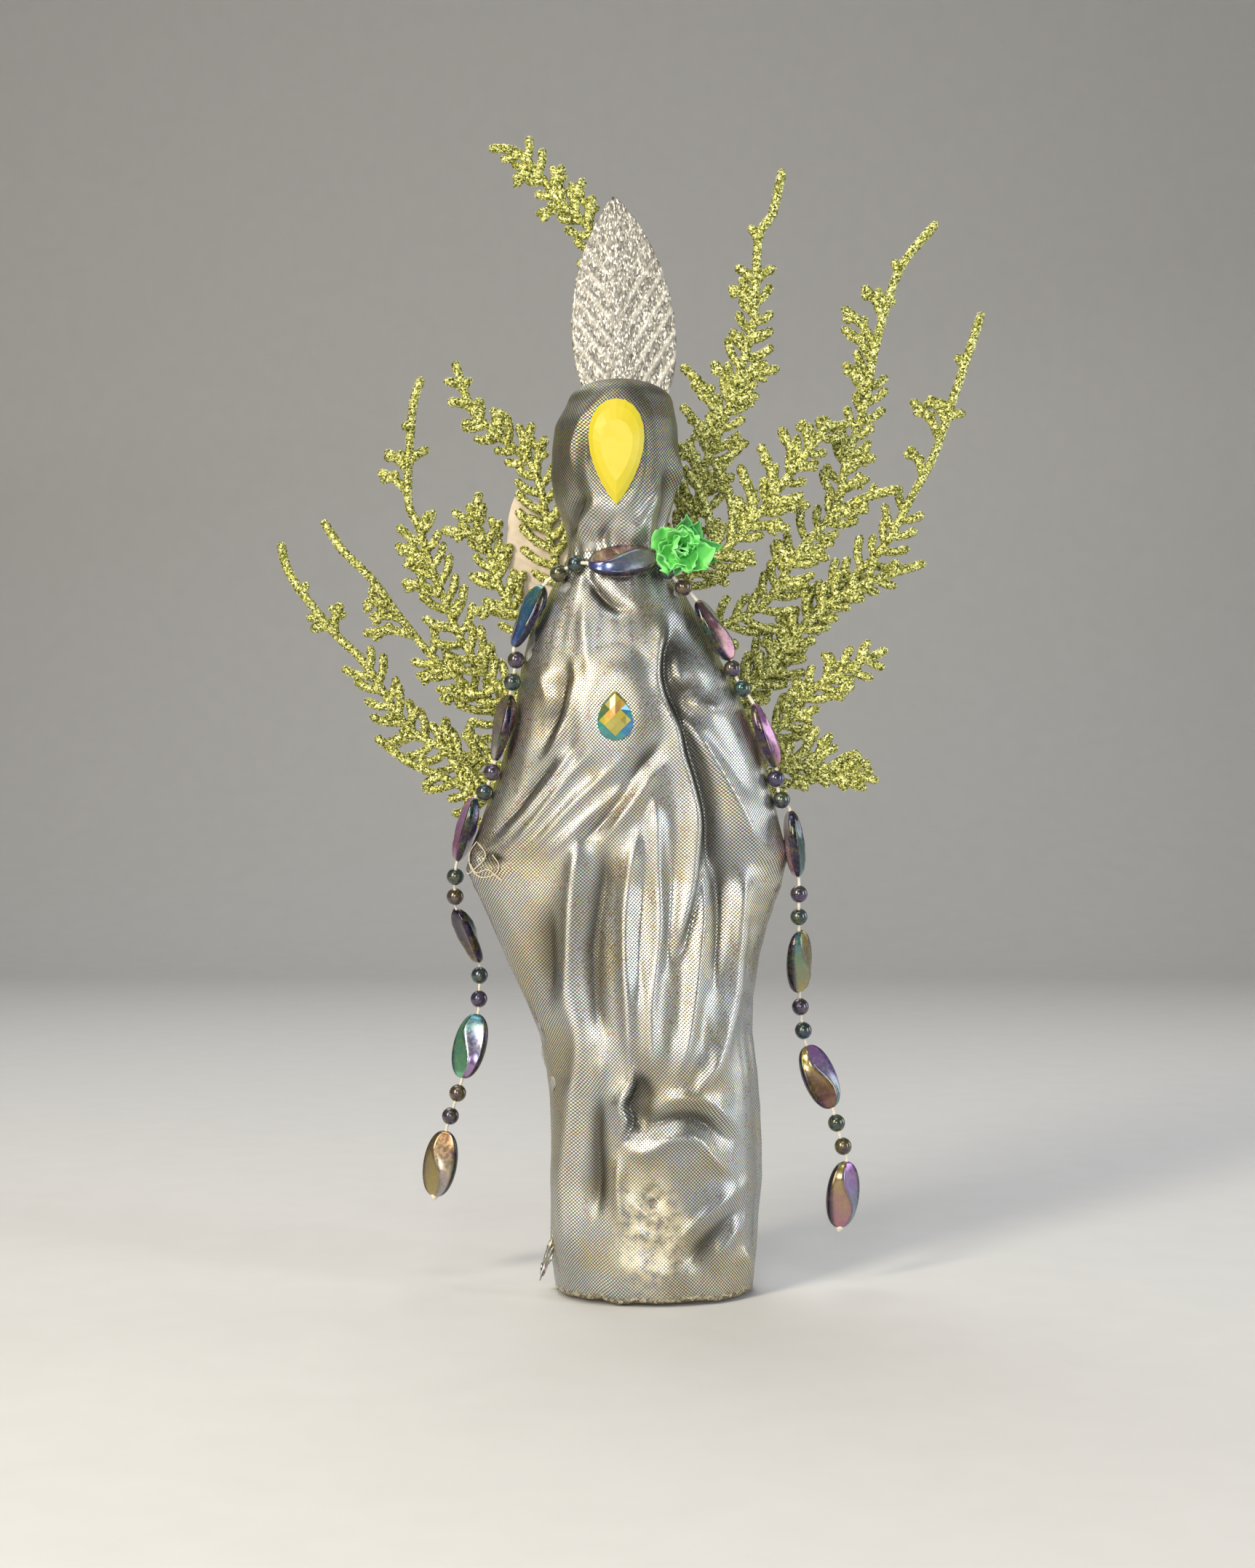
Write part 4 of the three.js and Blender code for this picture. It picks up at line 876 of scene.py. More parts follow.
head_low, head_high = (corner.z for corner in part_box("head_wrap"))
place, uv, crest = rolled_cloth("head_wrap", 60, 190, head_low + EDGE_GAP, head_high - DOME_START,
                                dome=DOME_HEIGHT)
middle = place[0, :, :2].mean(0)
for row, (drop, flare) in enumerate(NECK_LAP):
    place[row, :, 2] -= drop
    place[row, :, :2] = middle + (place[row, :, :2] - middle) * flare
bm = cloth_mesh(place, uv, crest)
head_cloth = piece_from(bm, "head_cloth", SHADED_HEAD_LAME, "cloth", stands_for=["head_wrap"])
thicken(head_cloth, CLOTH_THICKNESS)
print("head cloth", len(head_cloth.data.polygons), "faces")

# %% [markdown]
# ## Padding under the cloth
# Batting fills the skirt, the chest and the head. It hardly shows, but it is what the cloth lies on. A
# copy of each solid is remeshed and smoothed, which rounds it as fibre rounds itself, and its finish is
# felted fluff.

# %% Padding under the cloth
PADS = {"skirt_batting": "skirt_padding", "chest_batting": "chest_padding", "head_batting": "head_core"}
FIBRE_SIZE, SOFTENING = 1.8 * MM, 5


def batting_finish():
    finish = Finish("batting")
    fibre = finish.noise(900, 5, 0.7)
    clumps = finish.noise(120, 3)
    color = finish.ramp(clumps, (0.3, (0.72, 0.68, 0.6)), (0.7, (0.86, 0.83, 0.76)))
    return finish.set(Base_Color=color, Roughness=1.0, Normal=finish.bump(fibre + clumps * 0.5, 0.6 * MM))


BATTING = batting_finish()
for name, node in PADS.items():
    bm = bmesh.new()
    bm.from_mesh(nodes[node].data)
    bmesh.ops.remove_doubles(bm, verts=bm.verts, dist=0.001 * MM)
    pad = piece_from(bm, name, BATTING, "batting", stands_for=[node])
    remesh = pad.modifiers.new("fibre", "REMESH")
    remesh.mode = "VOXEL"
    remesh.voxel_size = FIBRE_SIZE
    soften = pad.modifiers.new("soften", "SMOOTH")
    soften.iterations = SOFTENING
    baked_modifiers(pad)
    finish_piece(pad, BATTING, "batting")
    print(name, len(pad.data.polygons), "faces")

# %% [markdown]
# ## Leaf finishes
# The crown is a skeleton leaf dipped in silver glitter, with veins that show through. Real flakes would
# be too many here, so each crumb of glitter is one cell of a Voronoi pattern with its own tone and,
# through the bump, its own tilt. The pale leaf behind the shoulder is a pressed one.

# %% Leaf finishes
CRUMB_TONES = ((0.1, (0.15, 0.138, 0.117)), (0.45, (0.285, 0.268, 0.23)), (0.75, (0.43, 0.41, 0.36)),
               (0.92, (0.95, 0.92, 0.81)))
PALE_TONES = ((0.3, (0.52, 0.44, 0.33)), (0.55, (0.66, 0.57, 0.45)), (0.8, (0.74, 0.66, 0.54)))


def glitter_leaf_finish():
    finish = Finish("silver_glitter")
    x, y, z = finish.parts(finish.place())
    stretched = finish.add("CombineXYZ", inputs={0: x, 1: y, 2: z * 0.45})
    crumb = finish.cells(2900, "Color", stretched)
    level, lean, gloss = finish.parts(crumb)
    vein = finish.attribute("vein")
    color = finish.mix(vein * 0.55, finish.ramp(level, *CRUMB_TONES), (0.88, 0.85, 0.76))
    return finish.set(Base_Color=color, Metallic=0.45, Roughness=0.34 + gloss * 0.3,
                      Normal=finish.bump(lean, 0.3 * MM, 0.7))


def pale_leaf_finish():
    finish = Finish("pressed_leaf")
    color = finish.ramp(finish.noise(160, 4), *PALE_TONES)
    color = finish.mix(finish.attribute("vein") * 0.6, color, (0.45, 0.36, 0.25))
    return finish.set(Base_Color=color, Roughness=0.72, Normal=finish.bump(finish.noise(900, 3), 0.1 * MM))


SILVER_GLITTER, PRESSED = glitter_leaf_finish(), pale_leaf_finish()
print("two leaf finishes")

# %% [markdown]
# ## Leaves
# A leaf is a grid that is narrowed to the leaf's outline and lifted along V-shaped veins; the pressed one
# has a midrib as well. Its attribute `vein` tells the finish where they run.

# %% Leaves
LEAF_LENGTH, LEAF_WIDTH, LEAF_WIDEST = 76 * MM, 30.6 * MM, 0.45
LEAF_LEAN = math.radians(-4)
LEAF_FOOT = Vector((-6.5 * MM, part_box("leaf_crown")[1].y - 0.45 * MM, 244 * MM))
PALE_LENGTH, PALE_WIDTH, PALE_WIDEST = 56 * MM, 24 * MM, 0.5
PALE_LEAN = math.radians(-24)
PALE_FOOT = Vector((-18 * MM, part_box("back_leaf")[0].y + 0.45 * MM, 181 * MM))
VEIN_PITCH, VEIN_SLOPE, VEIN_WIDTH = 7 * MM, 1.4, 0.7 * MM
LEAF_THICKNESS = 0.6 * MM


def blade(name, size, widest, foot, lean, curl, vein_rise, midrib, finish, slot, node):
    length, width = size
    bm = bmesh.new()
    bmesh.ops.create_grid(bm, x_segments=48, y_segments=110, size=1.0)
    vein = bm.verts.layers.float.new("vein")
    turn = Matrix.Rotation(lean, 3, "Y")
    rng = random.Random(5)
    for vert in bm.verts:
        side, share = vert.co.x, (vert.co.y + 1) / 2
        t = share / widest if share < widest else (1 - share) / (1 - widest)
        half = width / 2 * math.sin(math.pi / 2 * max(t, 0.0004) ** 0.78)
        across = abs(side) * half
        reach = (share * length - VEIN_SLOPE * across) / VEIN_PITCH
        line = math.exp(-((reach - round(reach)) * VEIN_PITCH / VEIN_WIDTH) ** 2)
        rib = midrib * math.exp(-(across / VEIN_WIDTH) ** 2)
        vert[vein] = max(line * min(across / (5 * MM), 1) * min(2.4 * (1 - share), 1), rib)
        ragged = 1 + (0.02 * noise.noise(Vector((side, share * 60, 3))) if abs(side) > 0.99 else 0)
        depth = curl(share, abs(side)) - vein_rise * vert[vein]
        depth += 0.1 * MM * rng.uniform(-1, 1) * (vein_rise > 0.3 * MM)
        vert.co = foot + turn @ Vector((side * half * ragged, depth, share * length))
    bmesh.ops.remove_doubles(bm, verts=bm.verts, dist=0.004 * MM)
    bmesh.ops.recalc_face_normals(bm, faces=bm.faces)
    leaf = piece_from(bm, name, finish, slot, stands_for=[node])
    return thicken(leaf, LEAF_THICKNESS)


def crown_curl(share, side):
    return (1.1 * side - 1.2) * math.sin(math.pi * share) * MM


def pale_curl(share, side):
    return 0.5 * side * side * MM


blade("silver_leaf", (LEAF_LENGTH, LEAF_WIDTH), LEAF_WIDEST, LEAF_FOOT, LEAF_LEAN, crown_curl, 0.45 * MM, 0,
      SILVER_GLITTER, "silver_leaf", "leaf_crown")
blade("pressed_leaf", (PALE_LENGTH, PALE_WIDTH), PALE_WIDEST, PALE_FOOT, PALE_LEAN, pale_curl, 0.15 * MM,
      0.7, PRESSED, "pale_leaf", "back_leaf")
print("two leaves")

# %% [markdown]
# ## Cedar sprigs
# The wings are sprigs of cedar rolled in yellow-green glitter and glued on in layers behind the doll. A
# generator of plants would give other sprays than these, so the list gives the stems and the twigs that
# stand out as the photograph shows them.

# %% Cedar sprigs
SEAM = 211 * MM
# Layer, share of the stem with short twigs, stem and tips of the long twigs: x and height over the seam
SPRIGS = {
    "left_top": (1, 0.8,
        [(-20, -15), (-27, -5), (-31, 8), (-33, 20), (-36, 29), (-42, 35), (-48, 40), (-54, 46),
         (-59, 60)],
        [(-62, 54), (-54, 55), (-61, 48), (-51, 49), (-57, 41), (-45, 46), (-50, 37), (-45, 33),
         (-36, 42), (-40, 30), (-32, 38), (-27, 16), (-38, 14)]),
    "left_inner": (1, 1.0,
        [(-30, -29), (-38, -18), (-45, -8), (-49, 4), (-55, 18)],
        [(-50, 18), (-45, 13), (-60, 9), (-63, 10), (-53, -3), (-38, -2), (-42, 6), (-54, -14),
         (-34, -12)]),
    "left_upper": (2, 0.62,
        [(-29, -48), (-45, -37), (-56, -24), (-62, -11), (-67, 2), (-70, 12), (-73, 20), (-72, 45),
         (-69, 56)],
        [(-75, 42), (-80, 34), (-82, 28), (-67, 35), (-77, 6), (-74, 2), (-75, -5), (-66, 16), (-57, -10),
         (-48, -23), (-65, -18)]),
    "left_middle": (3, 0.5,
        [(-27, -56), (-43, -48), (-54, -37), (-65, -28), (-76, -15), (-84, -4), (-93, 5), (-99, 14)],
        [(-85, -7), (-87, -11), (-85, -15), (-87, -20), (-60, -26), (-70, -33), (-49, -35), (-64, -40)]),
    "left_lower": (2, 0.6,
        [(-30, -64), (-47, -59), (-60, -55), (-73, -48), (-86, -29), (-95, -20), (-108, -3), (-111, 7)],
        [(-103, -5), (-106, -8), (-103, -16), (-102, -19), (-93, -11), (-89, -33), (-80, -45), (-70, -42),
         (-62, -45), (-55, -47), (-78, -52), (-58, -62)]),
    "left_elbow": (0, 0.55,
        [(-32, -74), (-49, -69), (-62, -63), (-73, -58), (-82, -51)],
        [(-68, -56), (-68, -66), (-56, -71), (-55, -59), (-47, -62)]),
    "right_top": (1, 0.72,
        [(-7, -9), (3, 1), (11, 12), (15, 29), (22, 46), (29, 70), (30, 81), (31, 97), (35, 104),
         (38, 117)],
        [(28, 100), (24, 88), (22, 82), (36, 88), (34, 68), (37, 58), (24, 68), (17, 60), (11, 54),
         (8, 59), (31, 50), (28, 36), (12, 40), (24, 26), (9, 28), (6, 21), (7, 36), (8, 47), (19, 23),
         (21, 35)]),
    "right_inner": (0, 1.0,
        [(1, -13), (10, -4), (24, 7), (39, 25), (52, 42)],
        [(43, 42), (37, 40), (31, 35), (25, 29), (48, 28), (40, 10), (17, 13), (30, 0), (22, -6),
         (46, 17), (13, 22), (18, 30), (12, 13), (24, 20)]),
    "right_upper": (2, 0.68,
        [(5, -27), (20, -18), (33, -11), (43, 4), (54, 17), (57, 30), (63, 49), (66, 66), (73, 88),
         (84, 102)],
        [(71, 91), (62, 83), (56, 77), (56, 71), (66, 81), (72, 79), (56, 60), (50, 44), (66, 32),
         (64, 26), (73, 23), (64, 17), (36, 8), (52, 2), (46, -6)]),
    "right_middle": (3, 0.6,
        [(10, -45), (24, -37), (44, -18), (54, -7), (63, 0), (70, 8), (77, 21), (84, 34), (90, 52),
         (98, 76)],
        [(90, 63), (77, 50), (82, 51), (85, 50), (93, 46), (76, 36), (38, -14), (30, -24), (52, -18)]),
    "right_lower": (2, 0.85,
        [(15, -54), (26, -40), (35, -30), (45, -18), (54, -10), (66, -4), (81, 1)],
        [(65, -7), (62, -9), (50, -9), (44, -25), (38, -18), (33, -21), (40, -32), (72, 2)]),
    "right_shoulder": (1, 0.9,
        [(17, -62), (37, -48), (47, -37), (55, -32), (69, -25)],
        [(62, -24), (57, -28), (61, -32), (52, -26), (59, -37), (56, -40), (43, -34), (38, -40),
         (47, -46)]),
    "right_elbow": (0, 0.9,
        [(20, -68), (36, -61), (51, -60), (66, -64)],
        [(64, -60), (61, -56), (60, -67), (56, -67), (51, -66), (45, -67), (52, -50), (48, -48),
         (40, -53)]),
    "crown": (None, 0.9,
        [(-11, 55), (-12, 80), (-15, 90), (-20, 101), (-28, 108), (-34, 116), (-41, 123), (-49, 124)],
        [(-42, 115), (-27, 119), (-21, 115), (-18, 110), (-35, 104), (-22.5, 50.5)]),
}
print(len(SPRIGS), "sprigs,", sum(len(twigs) for _, _, _, twigs in SPRIGS.values()), "long twigs")

# %% [markdown]
# ## Cedar glitter
# The glitter on the cedar is coarse, and dots in a texture would look flat. So geometry nodes scatter
# small pointed flakes on the twigs, and each flake keeps a random number, `glint`, that the finish turns
# into its brightness. Between the flakes, the cells of a Voronoi pattern are finer grains.

# %% Cedar glitter
FLAKE_SIZE, FLAKES_PER_AREA = 0.27 * MM, 900000
BARK_TONES = ((0.15, (0.07, 0.08, 0.01)), (0.4, (0.28, 0.29, 0.045)), (0.62, (0.55, 0.55, 0.12)),
              (0.85, (1.0, 0.99, 0.46)))
FLAKE_TONES = ((0.0, (0.1, 0.115, 0.016)), (0.3, (0.4, 0.41, 0.065)), (0.7, (0.76, 0.76, 0.21)),
               (1.0, (1.0, 0.99, 0.72)))


def cedar_finish():
    finish = Finish("cedar_glitter")
    glint = finish.attribute("glint")
    crumb = finish.cells(2200, "Color")
    level = finish.add("SeparateColor", inputs={0: crumb}, output=0)
    bark, flake = finish.ramp(level, *BARK_TONES), finish.ramp(glint, *FLAKE_TONES)
    color = finish.mix(glint.between(0.0, 0.02), bark, flake)
    gloss = finish.add("SeparateColor", inputs={0: crumb}, output=1)
    rough = finish.bump(level + finish.noise(1600, 2), 0.4 * MM, 0.9)
    return finish.set(Base_Color=color, Metallic=0.5, Roughness=0.22 + gloss * 0.3, Normal=rough)


def glitter_nodes(name, density, size):
    """Node group that scatters small pointed flakes on a surface, each with a random glint."""
    group = bpy.data.node_groups.new(name, "GeometryNodeTree")
    group.interface.new_socket("Geometry", in_out="INPUT", socket_type="NodeSocketGeometry")
    group.interface.new_socket("Geometry", in_out="OUTPUT", socket_type="NodeSocketGeometry")

    def add(kind, settings=None, inputs=None):
        node = group.nodes.new(kind)
        for key, value in (settings or {}).items():
            setattr(node, key, value)
        for key, value in (inputs or {}).items():
            if isinstance(value, bpy.types.NodeSocket):
                group.links.new(value, node.inputs[key])
            else:
                node.inputs[key].default_value = value
        return node

    surface = add("NodeGroupInput").outputs[0]
    scattered = {"Mesh": surface, "Density": density, "Seed": 3}
    spots = add("GeometryNodeDistributePointsOnFaces", None, scattered)
    shape = {"Vertices": 5, "Side Segments": 1, "Fill Segments": 1, "Radius Top": 0.15 * size,
             "Radius Bottom": size, "Depth": 0.7 * size}
    flake = add("GeometryNodeMeshCone", None, shape).outputs["Mesh"]
    tilts = {0: (-0.6,) * 3, 1: (0.6,) * 3, "Seed": 7}
    tilt = add("FunctionNodeRandomValue", {"data_type": "FLOAT_VECTOR"}, tilts)
    turned = add("FunctionNodeRotateEuler", {"rotation_type": "EULER", "space": "LOCAL"},
                 {0: spots.outputs["Rotation"], 1: tilt.outputs[0]})
    scale = add("FunctionNodeRandomValue", {"data_type": "FLOAT"}, {2: 0.6, 3: 1.25, "Seed": 11})
    placed = {"Points": spots.outputs["Points"], "Instance": flake, "Rotation": turned.outputs[0],
              "Scale": scale.outputs[1]}
    flakes = add("GeometryNodeInstanceOnPoints", None, placed)
    glint = add("FunctionNodeRandomValue", {"data_type": "FLOAT"}, {2: 0.05, 3: 1.0, "Seed": 19})
    marked = add("GeometryNodeStoreNamedAttribute", {"domain": "INSTANCE"},
                 {"Geometry": flakes.outputs[0], "Name": "glint", "Value": glint.outputs[1]})
    real = add("GeometryNodeRealizeInstances", None, {0: marked.outputs[0]})
    both = add("GeometryNodeJoinGeometry")
    group.links.new(real.outputs[0], both.inputs[0])
    group.links.new(surface, both.inputs[0])
    add("NodeGroupOutput", None, {0: both.outputs[0]})
    return group


CEDAR = cedar_finish()
FLAKES = glitter_nodes("cedar_flakes", FLAKES_PER_AREA, FLAKE_SIZE)
print("flakes of", round(FLAKE_SIZE / MM, 2), "mm")

# %% [markdown]
# ## Twigs
# A cedar twig is knobby and ends in a dome. Each is a curve with a radius that swells in lobes, and a
# round bevel turns it into a tube. A long twig leaves its stem below the place nearest to its tip. Short
# ones fill the spray near the doll or fork off the long ones, while the outer ends stay bare. All of them
# are waved in depth, because a real spray isn't flat.

# %% Twigs
LOBE_PITCH = 1.7 * MM
FILL_START, FILL_PITCH = 9 * MM, 2.7 * MM
FORKS = ((0.45, 1), (0.62, -1))   # share of the way along a long twig, and side
FORK_FROM = 8 * MM                # shorter twigs have no forks
SWAY, SWAY_SIZE = 2.6 * MM, 17 * MM


def twig_route(points, radius):
    """Route of a knobby twig with a domed tip."""
    path = curve_points(points, 0.7 * MM)
    reach = lengths_along(path)
    left = reach[-1] - reach
    dome = np.sqrt(np.clip(1 - (1 - np.clip(left / radius, 0.06, 1)) ** 2, 0, 1))
    knobs = 1 + 0.1 * np.sin(2 * math.pi * reach / LOBE_PITCH)
    return path, radius * knobs * dome * (0.85 + 0.15 * reach / reach[-1])


def side_twig(path, tip):
    """Points of a twig that leaves a stem below the place nearest to its tip."""
    away = np.linalg.norm(path - tip, axis=1)
    nearest = int(np.argmin(away))
    step = np.linalg.norm(path[1] - path[0])
    root = max(nearest - int(0.8 * away[nearest] / step), 1)
    bend = (path[root] + tip) / 2 * 0.82 + path[nearest] * 0.18
    return [path[root], bend, np.array(tip)]


def short_twigs(path, dense, rng):
    """Points of the short twigs that fill the inner share of a stem, left and right by turns."""
    reach = lengths_along(path)
    made = []
    side = 1
    for at in np.arange(FILL_START, dense * reach[-1], FILL_PITCH):
        k = int(np.searchsorted(reach, at))
        ahead = Vector(path[min(k + 3, len(path) - 1)] - path[k - 3]).normalized()
        lean = side * math.radians(rng.uniform(42, 62))
        turned = Matrix.Rotation(lean, 3, "Y") @ ahead
        length = float((10.5 - 5.5 * at / reach[-1]) * rng.uniform(0.75, 1.15) * MM)
        back = Vector((0, rng.uniform(-0.2, 1.6) * MM, 0))
        start = Vector(path[k])
        bend = start + turned * length * 0.6 + back * 0.5
        made.append([start, bend, start + turned * length + 0.25 * length * ahead + back])
        side = -side
    return made


def forked_twigs(route, rng):
    """Two short twigs that leave a long one, left and right."""
    ahead = Vector(route[-1] - route[0])
    if ahead.length <= FORK_FROM:
        return []
    made = []
    for share, side in FORKS:
        start = Vector(route[int(share * len(route))])
        turned = Matrix.Rotation(side * math.radians(50), 3, "Y") @ ahead.normalized()
        tip = start + turned * rng.uniform(2.6, 4.2) * MM
        made.append([start, (start + tip) / 2, tip])
    return made


def sway(route, seat):
    """Wave a route in depth, more and more away from its seat."""
    for spot in route[1:]:
        away = min((Vector(spot) - seat).length / SWAY_SIZE, 1)
        spot[1] += SWAY * noise.noise(Vector(spot) / SWAY_SIZE) * away


print("a short twig every", round(FILL_PITCH / MM, 1), "mm")

# %% [markdown]
# ## Building the sprigs
# All tubes of a sprig become one mesh. A Displace modifier with a Voronoi texture makes them lumpy, the
# flakes are scattered on that, and the result is kept as a plain mesh.

# %% Building the sprigs
FIRST_LAYER, LAYER_PITCH = 13 * MM, 3.6 * MM
STEM_RADIUS, TWIG_RADIUS = 1.35 * MM, 1.5 * MM
LUMP_SIZE, LUMP_RISE = 1.3 * MM, 0.22 * MM
lumps = bpy.data.textures.new("lumps", "VORONOI")
lumps.noise_scale = LUMP_SIZE


def make_sprig(name, layer, dense, stem, twigs, seed):
    low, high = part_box("sprig_" + name)
    depth = (low.y + high.y) / 2 if layer is None else FIRST_LAYER + layer * LAYER_PITCH
    seat = depth if layer is None else min(depth, low.y + STEM_RADIUS + 0.1 * MM)
    rng = random.Random(seed)
    points = [Vector((x * MM, depth, SEAM + z * MM)) for x, z in stem]
    points[0].y = seat
    path, radii = twig_route(points, STEM_RADIUS)
    tips = [np.array((x * MM, depth, SEAM + z * MM)) for x, z in twigs]
    long_twigs = [twig_route(side_twig(path, tip), TWIG_RADIUS) for tip in tips]
    routes = [(path, radii), *long_twigs]
    routes += [twig_route(twig, TWIG_RADIUS * 0.92) for twig in short_twigs(path, dense, rng)]
    for route, _ in long_twigs:
        routes += [twig_route(twig, TWIG_RADIUS * 0.9) for twig in forked_twigs(route, rng)]
    for route, _ in routes:
        sway(route, points[0])
    sprig = tubes("cedar_" + name, routes)
    swell = sprig.modifiers.new("lumps", "DISPLACE")
    swell.texture = lumps
    swell.texture_coords = "LOCAL"
    swell.strength = LUMP_RISE
    swell.mid_level = 0.35
    glitter = sprig.modifiers.new("glitter", "NODES")
    glitter.node_group = FLAKES
    baked_modifiers(sprig)
    return finish_piece(sprig, CEDAR, "cedar", stands_for=["sprig_" + name])


for seed, (name, (layer, dense, stem, twigs)) in enumerate(SPRIGS.items()):
    sprig = make_sprig(name, layer, dense, stem, twigs, seed)
    print(sprig.name, len(sprig.data.polygons), "faces")

# %% [markdown]
# ## Face stone
# The face is a flat-back stone of opaque yellow acrylic. Its solid already has the right facets, so it
# only gets a finish. It looks as bright as fluorescent plastic, which paint alone can't show, so it gives
# off a little yellow light.

# %% Face stone


def face_stone_finish():
    finish = Finish("yellow_acrylic")
    cloud = finish.noise(90, 2)
    color = finish.ramp(cloud, (0.3, (0.42, 0.32, 0.013)), (0.7, (0.46, 0.35, 0.018)))
    scuffs = finish.noise(500, 2).between(0.5, 0.7)
    return finish.set(Base_Color=color, Roughness=0.42 + scuffs * 0.1, Emission_Color=(1.0, 0.93, 0.05),
                      Emission_Strength=0.3)


coat(nodes["face_gem"], face_stone_finish())
print("face stone finished")

# %% [markdown]
# ## Chest stone
# The chest stone is a rainbow-coated one with a checkerboard cut. A grid turned by 45 degrees is trimmed
# by the planes of a teardrop, raised to a dome and closed at the back. Each facet gets one colour of the
# coating, picked by where it lies.

# %% Chest stone
# Colours of the coating by where a facet lies on the stone
COATING = {
    "middle": [(0.55, 0.3, 0.03), (0.6, 0.48, 0.04), (0.3, 0.42, 0.04), (0.4, 0.35, 0.05),
               (0.36, 0.19, 0.03)],
    "lower right": [(0.01, 0.1, 0.5), (0.01, 0.2, 0.42), (0.02, 0.3, 0.34)],
    "bottom": [(0.01, 0.22, 0.24), (0.02, 0.3, 0.26)],
    "top": [(0.2, 0.19, 0.05), (0.32, 0.3, 0.08), (0.08, 0.2, 0.14)],
    "left": [(0.1, 0.18, 0.05), (0.06, 0.22, 0.08), (0.2, 0.3, 0.08)],
}
FOIL_BACK = (0.5, 0.52, 0.5, 1)
FACET_SEED = 8


def teardrop(width, height, count):
    turns = np.arange(count) * 2 * math.pi / count
    outline = np.column_stack([-np.sin(turns) * np.sin(turns / 2) ** 0.8, np.cos(turns)])
    outline /= np.abs(outline).max(axis=0)
    return outline * (width / 2, height / 2)


def rainbow_finish():
    finish = Finish("rainbow_coating")
    facet = finish.attribute("facet", "Color")
    drift = finish.noise(700, 1)
    color = finish.mix(drift * 0.12, facet, (0.95, 0.95, 0.75))
    return finish.set(Base_Color=color, Metallic=0.4, Roughness=0.2 + drift * 0.08, Coat_Weight=0.25)


def facet_place(across, up, dome):
    if dome > 0.72:
        return "middle"
    if across > 0.12 and up < 0.12:
        return "lower right"
    if up < -0.2:
        return "bottom"
    return "top" if up > 0.22 else "left"


def centre_key(face):
    return [round(c, 6) for c in face.calc_center_median()]


def make_chest_stone():
    low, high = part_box("chest_gem")
    width, depth, height = high - low
    outline = teardrop(width, height, 36)
    bm = bmesh.new()
    bmesh.ops.create_grid(bm, x_segments=10, y_segments=10, size=0.75 * height)
    bmesh.ops.rotate(bm, verts=bm.verts, matrix=Matrix.Rotation(math.radians(45), 3, "Z"))
    edges = []
    for start, end in zip(outline, np.roll(outline, -1, 0)):
        along = end - start
        outward = Vector((along[1], -along[0], 0)).normalized()
        if outward.dot(Vector((*start, 0))) < 0:
            outward = -outward
        edges.append((outward, outward.dot(Vector((*start, 0)))))
        geometry = [*bm.verts, *bm.edges, *bm.faces]
        bmesh.ops.bisect_plane(bm, geom=geometry, plane_co=(*start, 0), plane_no=outward, clear_outer=True)
    for vert in bm.verts:
        gauge = max(outward.dot(vert.co) / reach for outward, reach in edges)
        vert.co.z = depth * (0.28 + 0.72 * math.sqrt(max(1 - 0.96 * gauge**2, 0)))
    facet = bm.faces.layers.float_color.new("facet")
    rng = random.Random(FACET_SEED)
    for face in sorted(bm.faces, key=centre_key):
        spot = face.calc_center_median()
        tints = COATING[facet_place(spot.x / width, spot.y / height, spot.z / depth)]
        face[facet] = (*rng.choice(tints), 1)
    rim = [edge for edge in bm.edges if edge.is_boundary]
    wall = bmesh.ops.extrude_edge_only(bm, edges=rim)["geom"]
    for item in wall:
        if isinstance(item, bmesh.types.BMVert):
            item.co.z = 0
    bmesh.ops.holes_fill(bm, edges=[edge for edge in bm.edges if edge.is_boundary])
    for face in bm.faces:
        if face[facet][3] == 0:
            face[facet] = FOIL_BACK
    bmesh.ops.recalc_face_normals(bm, faces=bm.faces)
    seat = Matrix.Translation(((low.x + high.x) / 2, high.y, (low.z + high.z) / 2))
    bmesh.ops.transform(bm, matrix=seat @ Matrix.Rotation(math.radians(90), 4, "X"), verts=bm.verts)
    return piece_from(bm, "chest_stone", rainbow_finish(), "rainbow_gem", stands_for=["chest_gem"],
                      smooth=False)


print("chest stone", len(make_chest_stone().data.polygons), "facets")

# %% [markdown]
# ## Petals of paper
# The rose is twisted from thin green paper with paler edges. A petal is a small grid that is narrowed,
# cupped and flared, and then crumpled by noise of two sizes, because a cloth simulation would make it too
# smooth. Its attribute `shade` sets the tone of each whorl and holds painted shade: a petal is darker
# towards its foot, deep in the bloom.

# %% Petals of paper
PALE_EDGE = (0.42, 0.88, 0.4)
COARSE_CRUMPLE, FINE_CRUMPLE = 3.2 * MM, 1.5 * MM


def paper_finish(name, dark, light):
    finish = Finish(name)
    shade = finish.attribute("shade")
    fibre = finish.noise(700, 4)
    # `shade` mixes the whorl tones with painted shade deep in the bloom
    color = finish.mix(shade, dark, light)
    color = finish.mix(fibre * 0.2, color, light)
    color = finish.mix(shade.between(1.2, 1.9) * 0.7, color, PALE_EDGE)
    creases = finish.bump(finish.noise(420, 3), 0.25 * MM, 0.7)
    return finish.set(Base_Color=color, Roughness=0.75, Normal=creases, Subsurface_Weight=0.1)


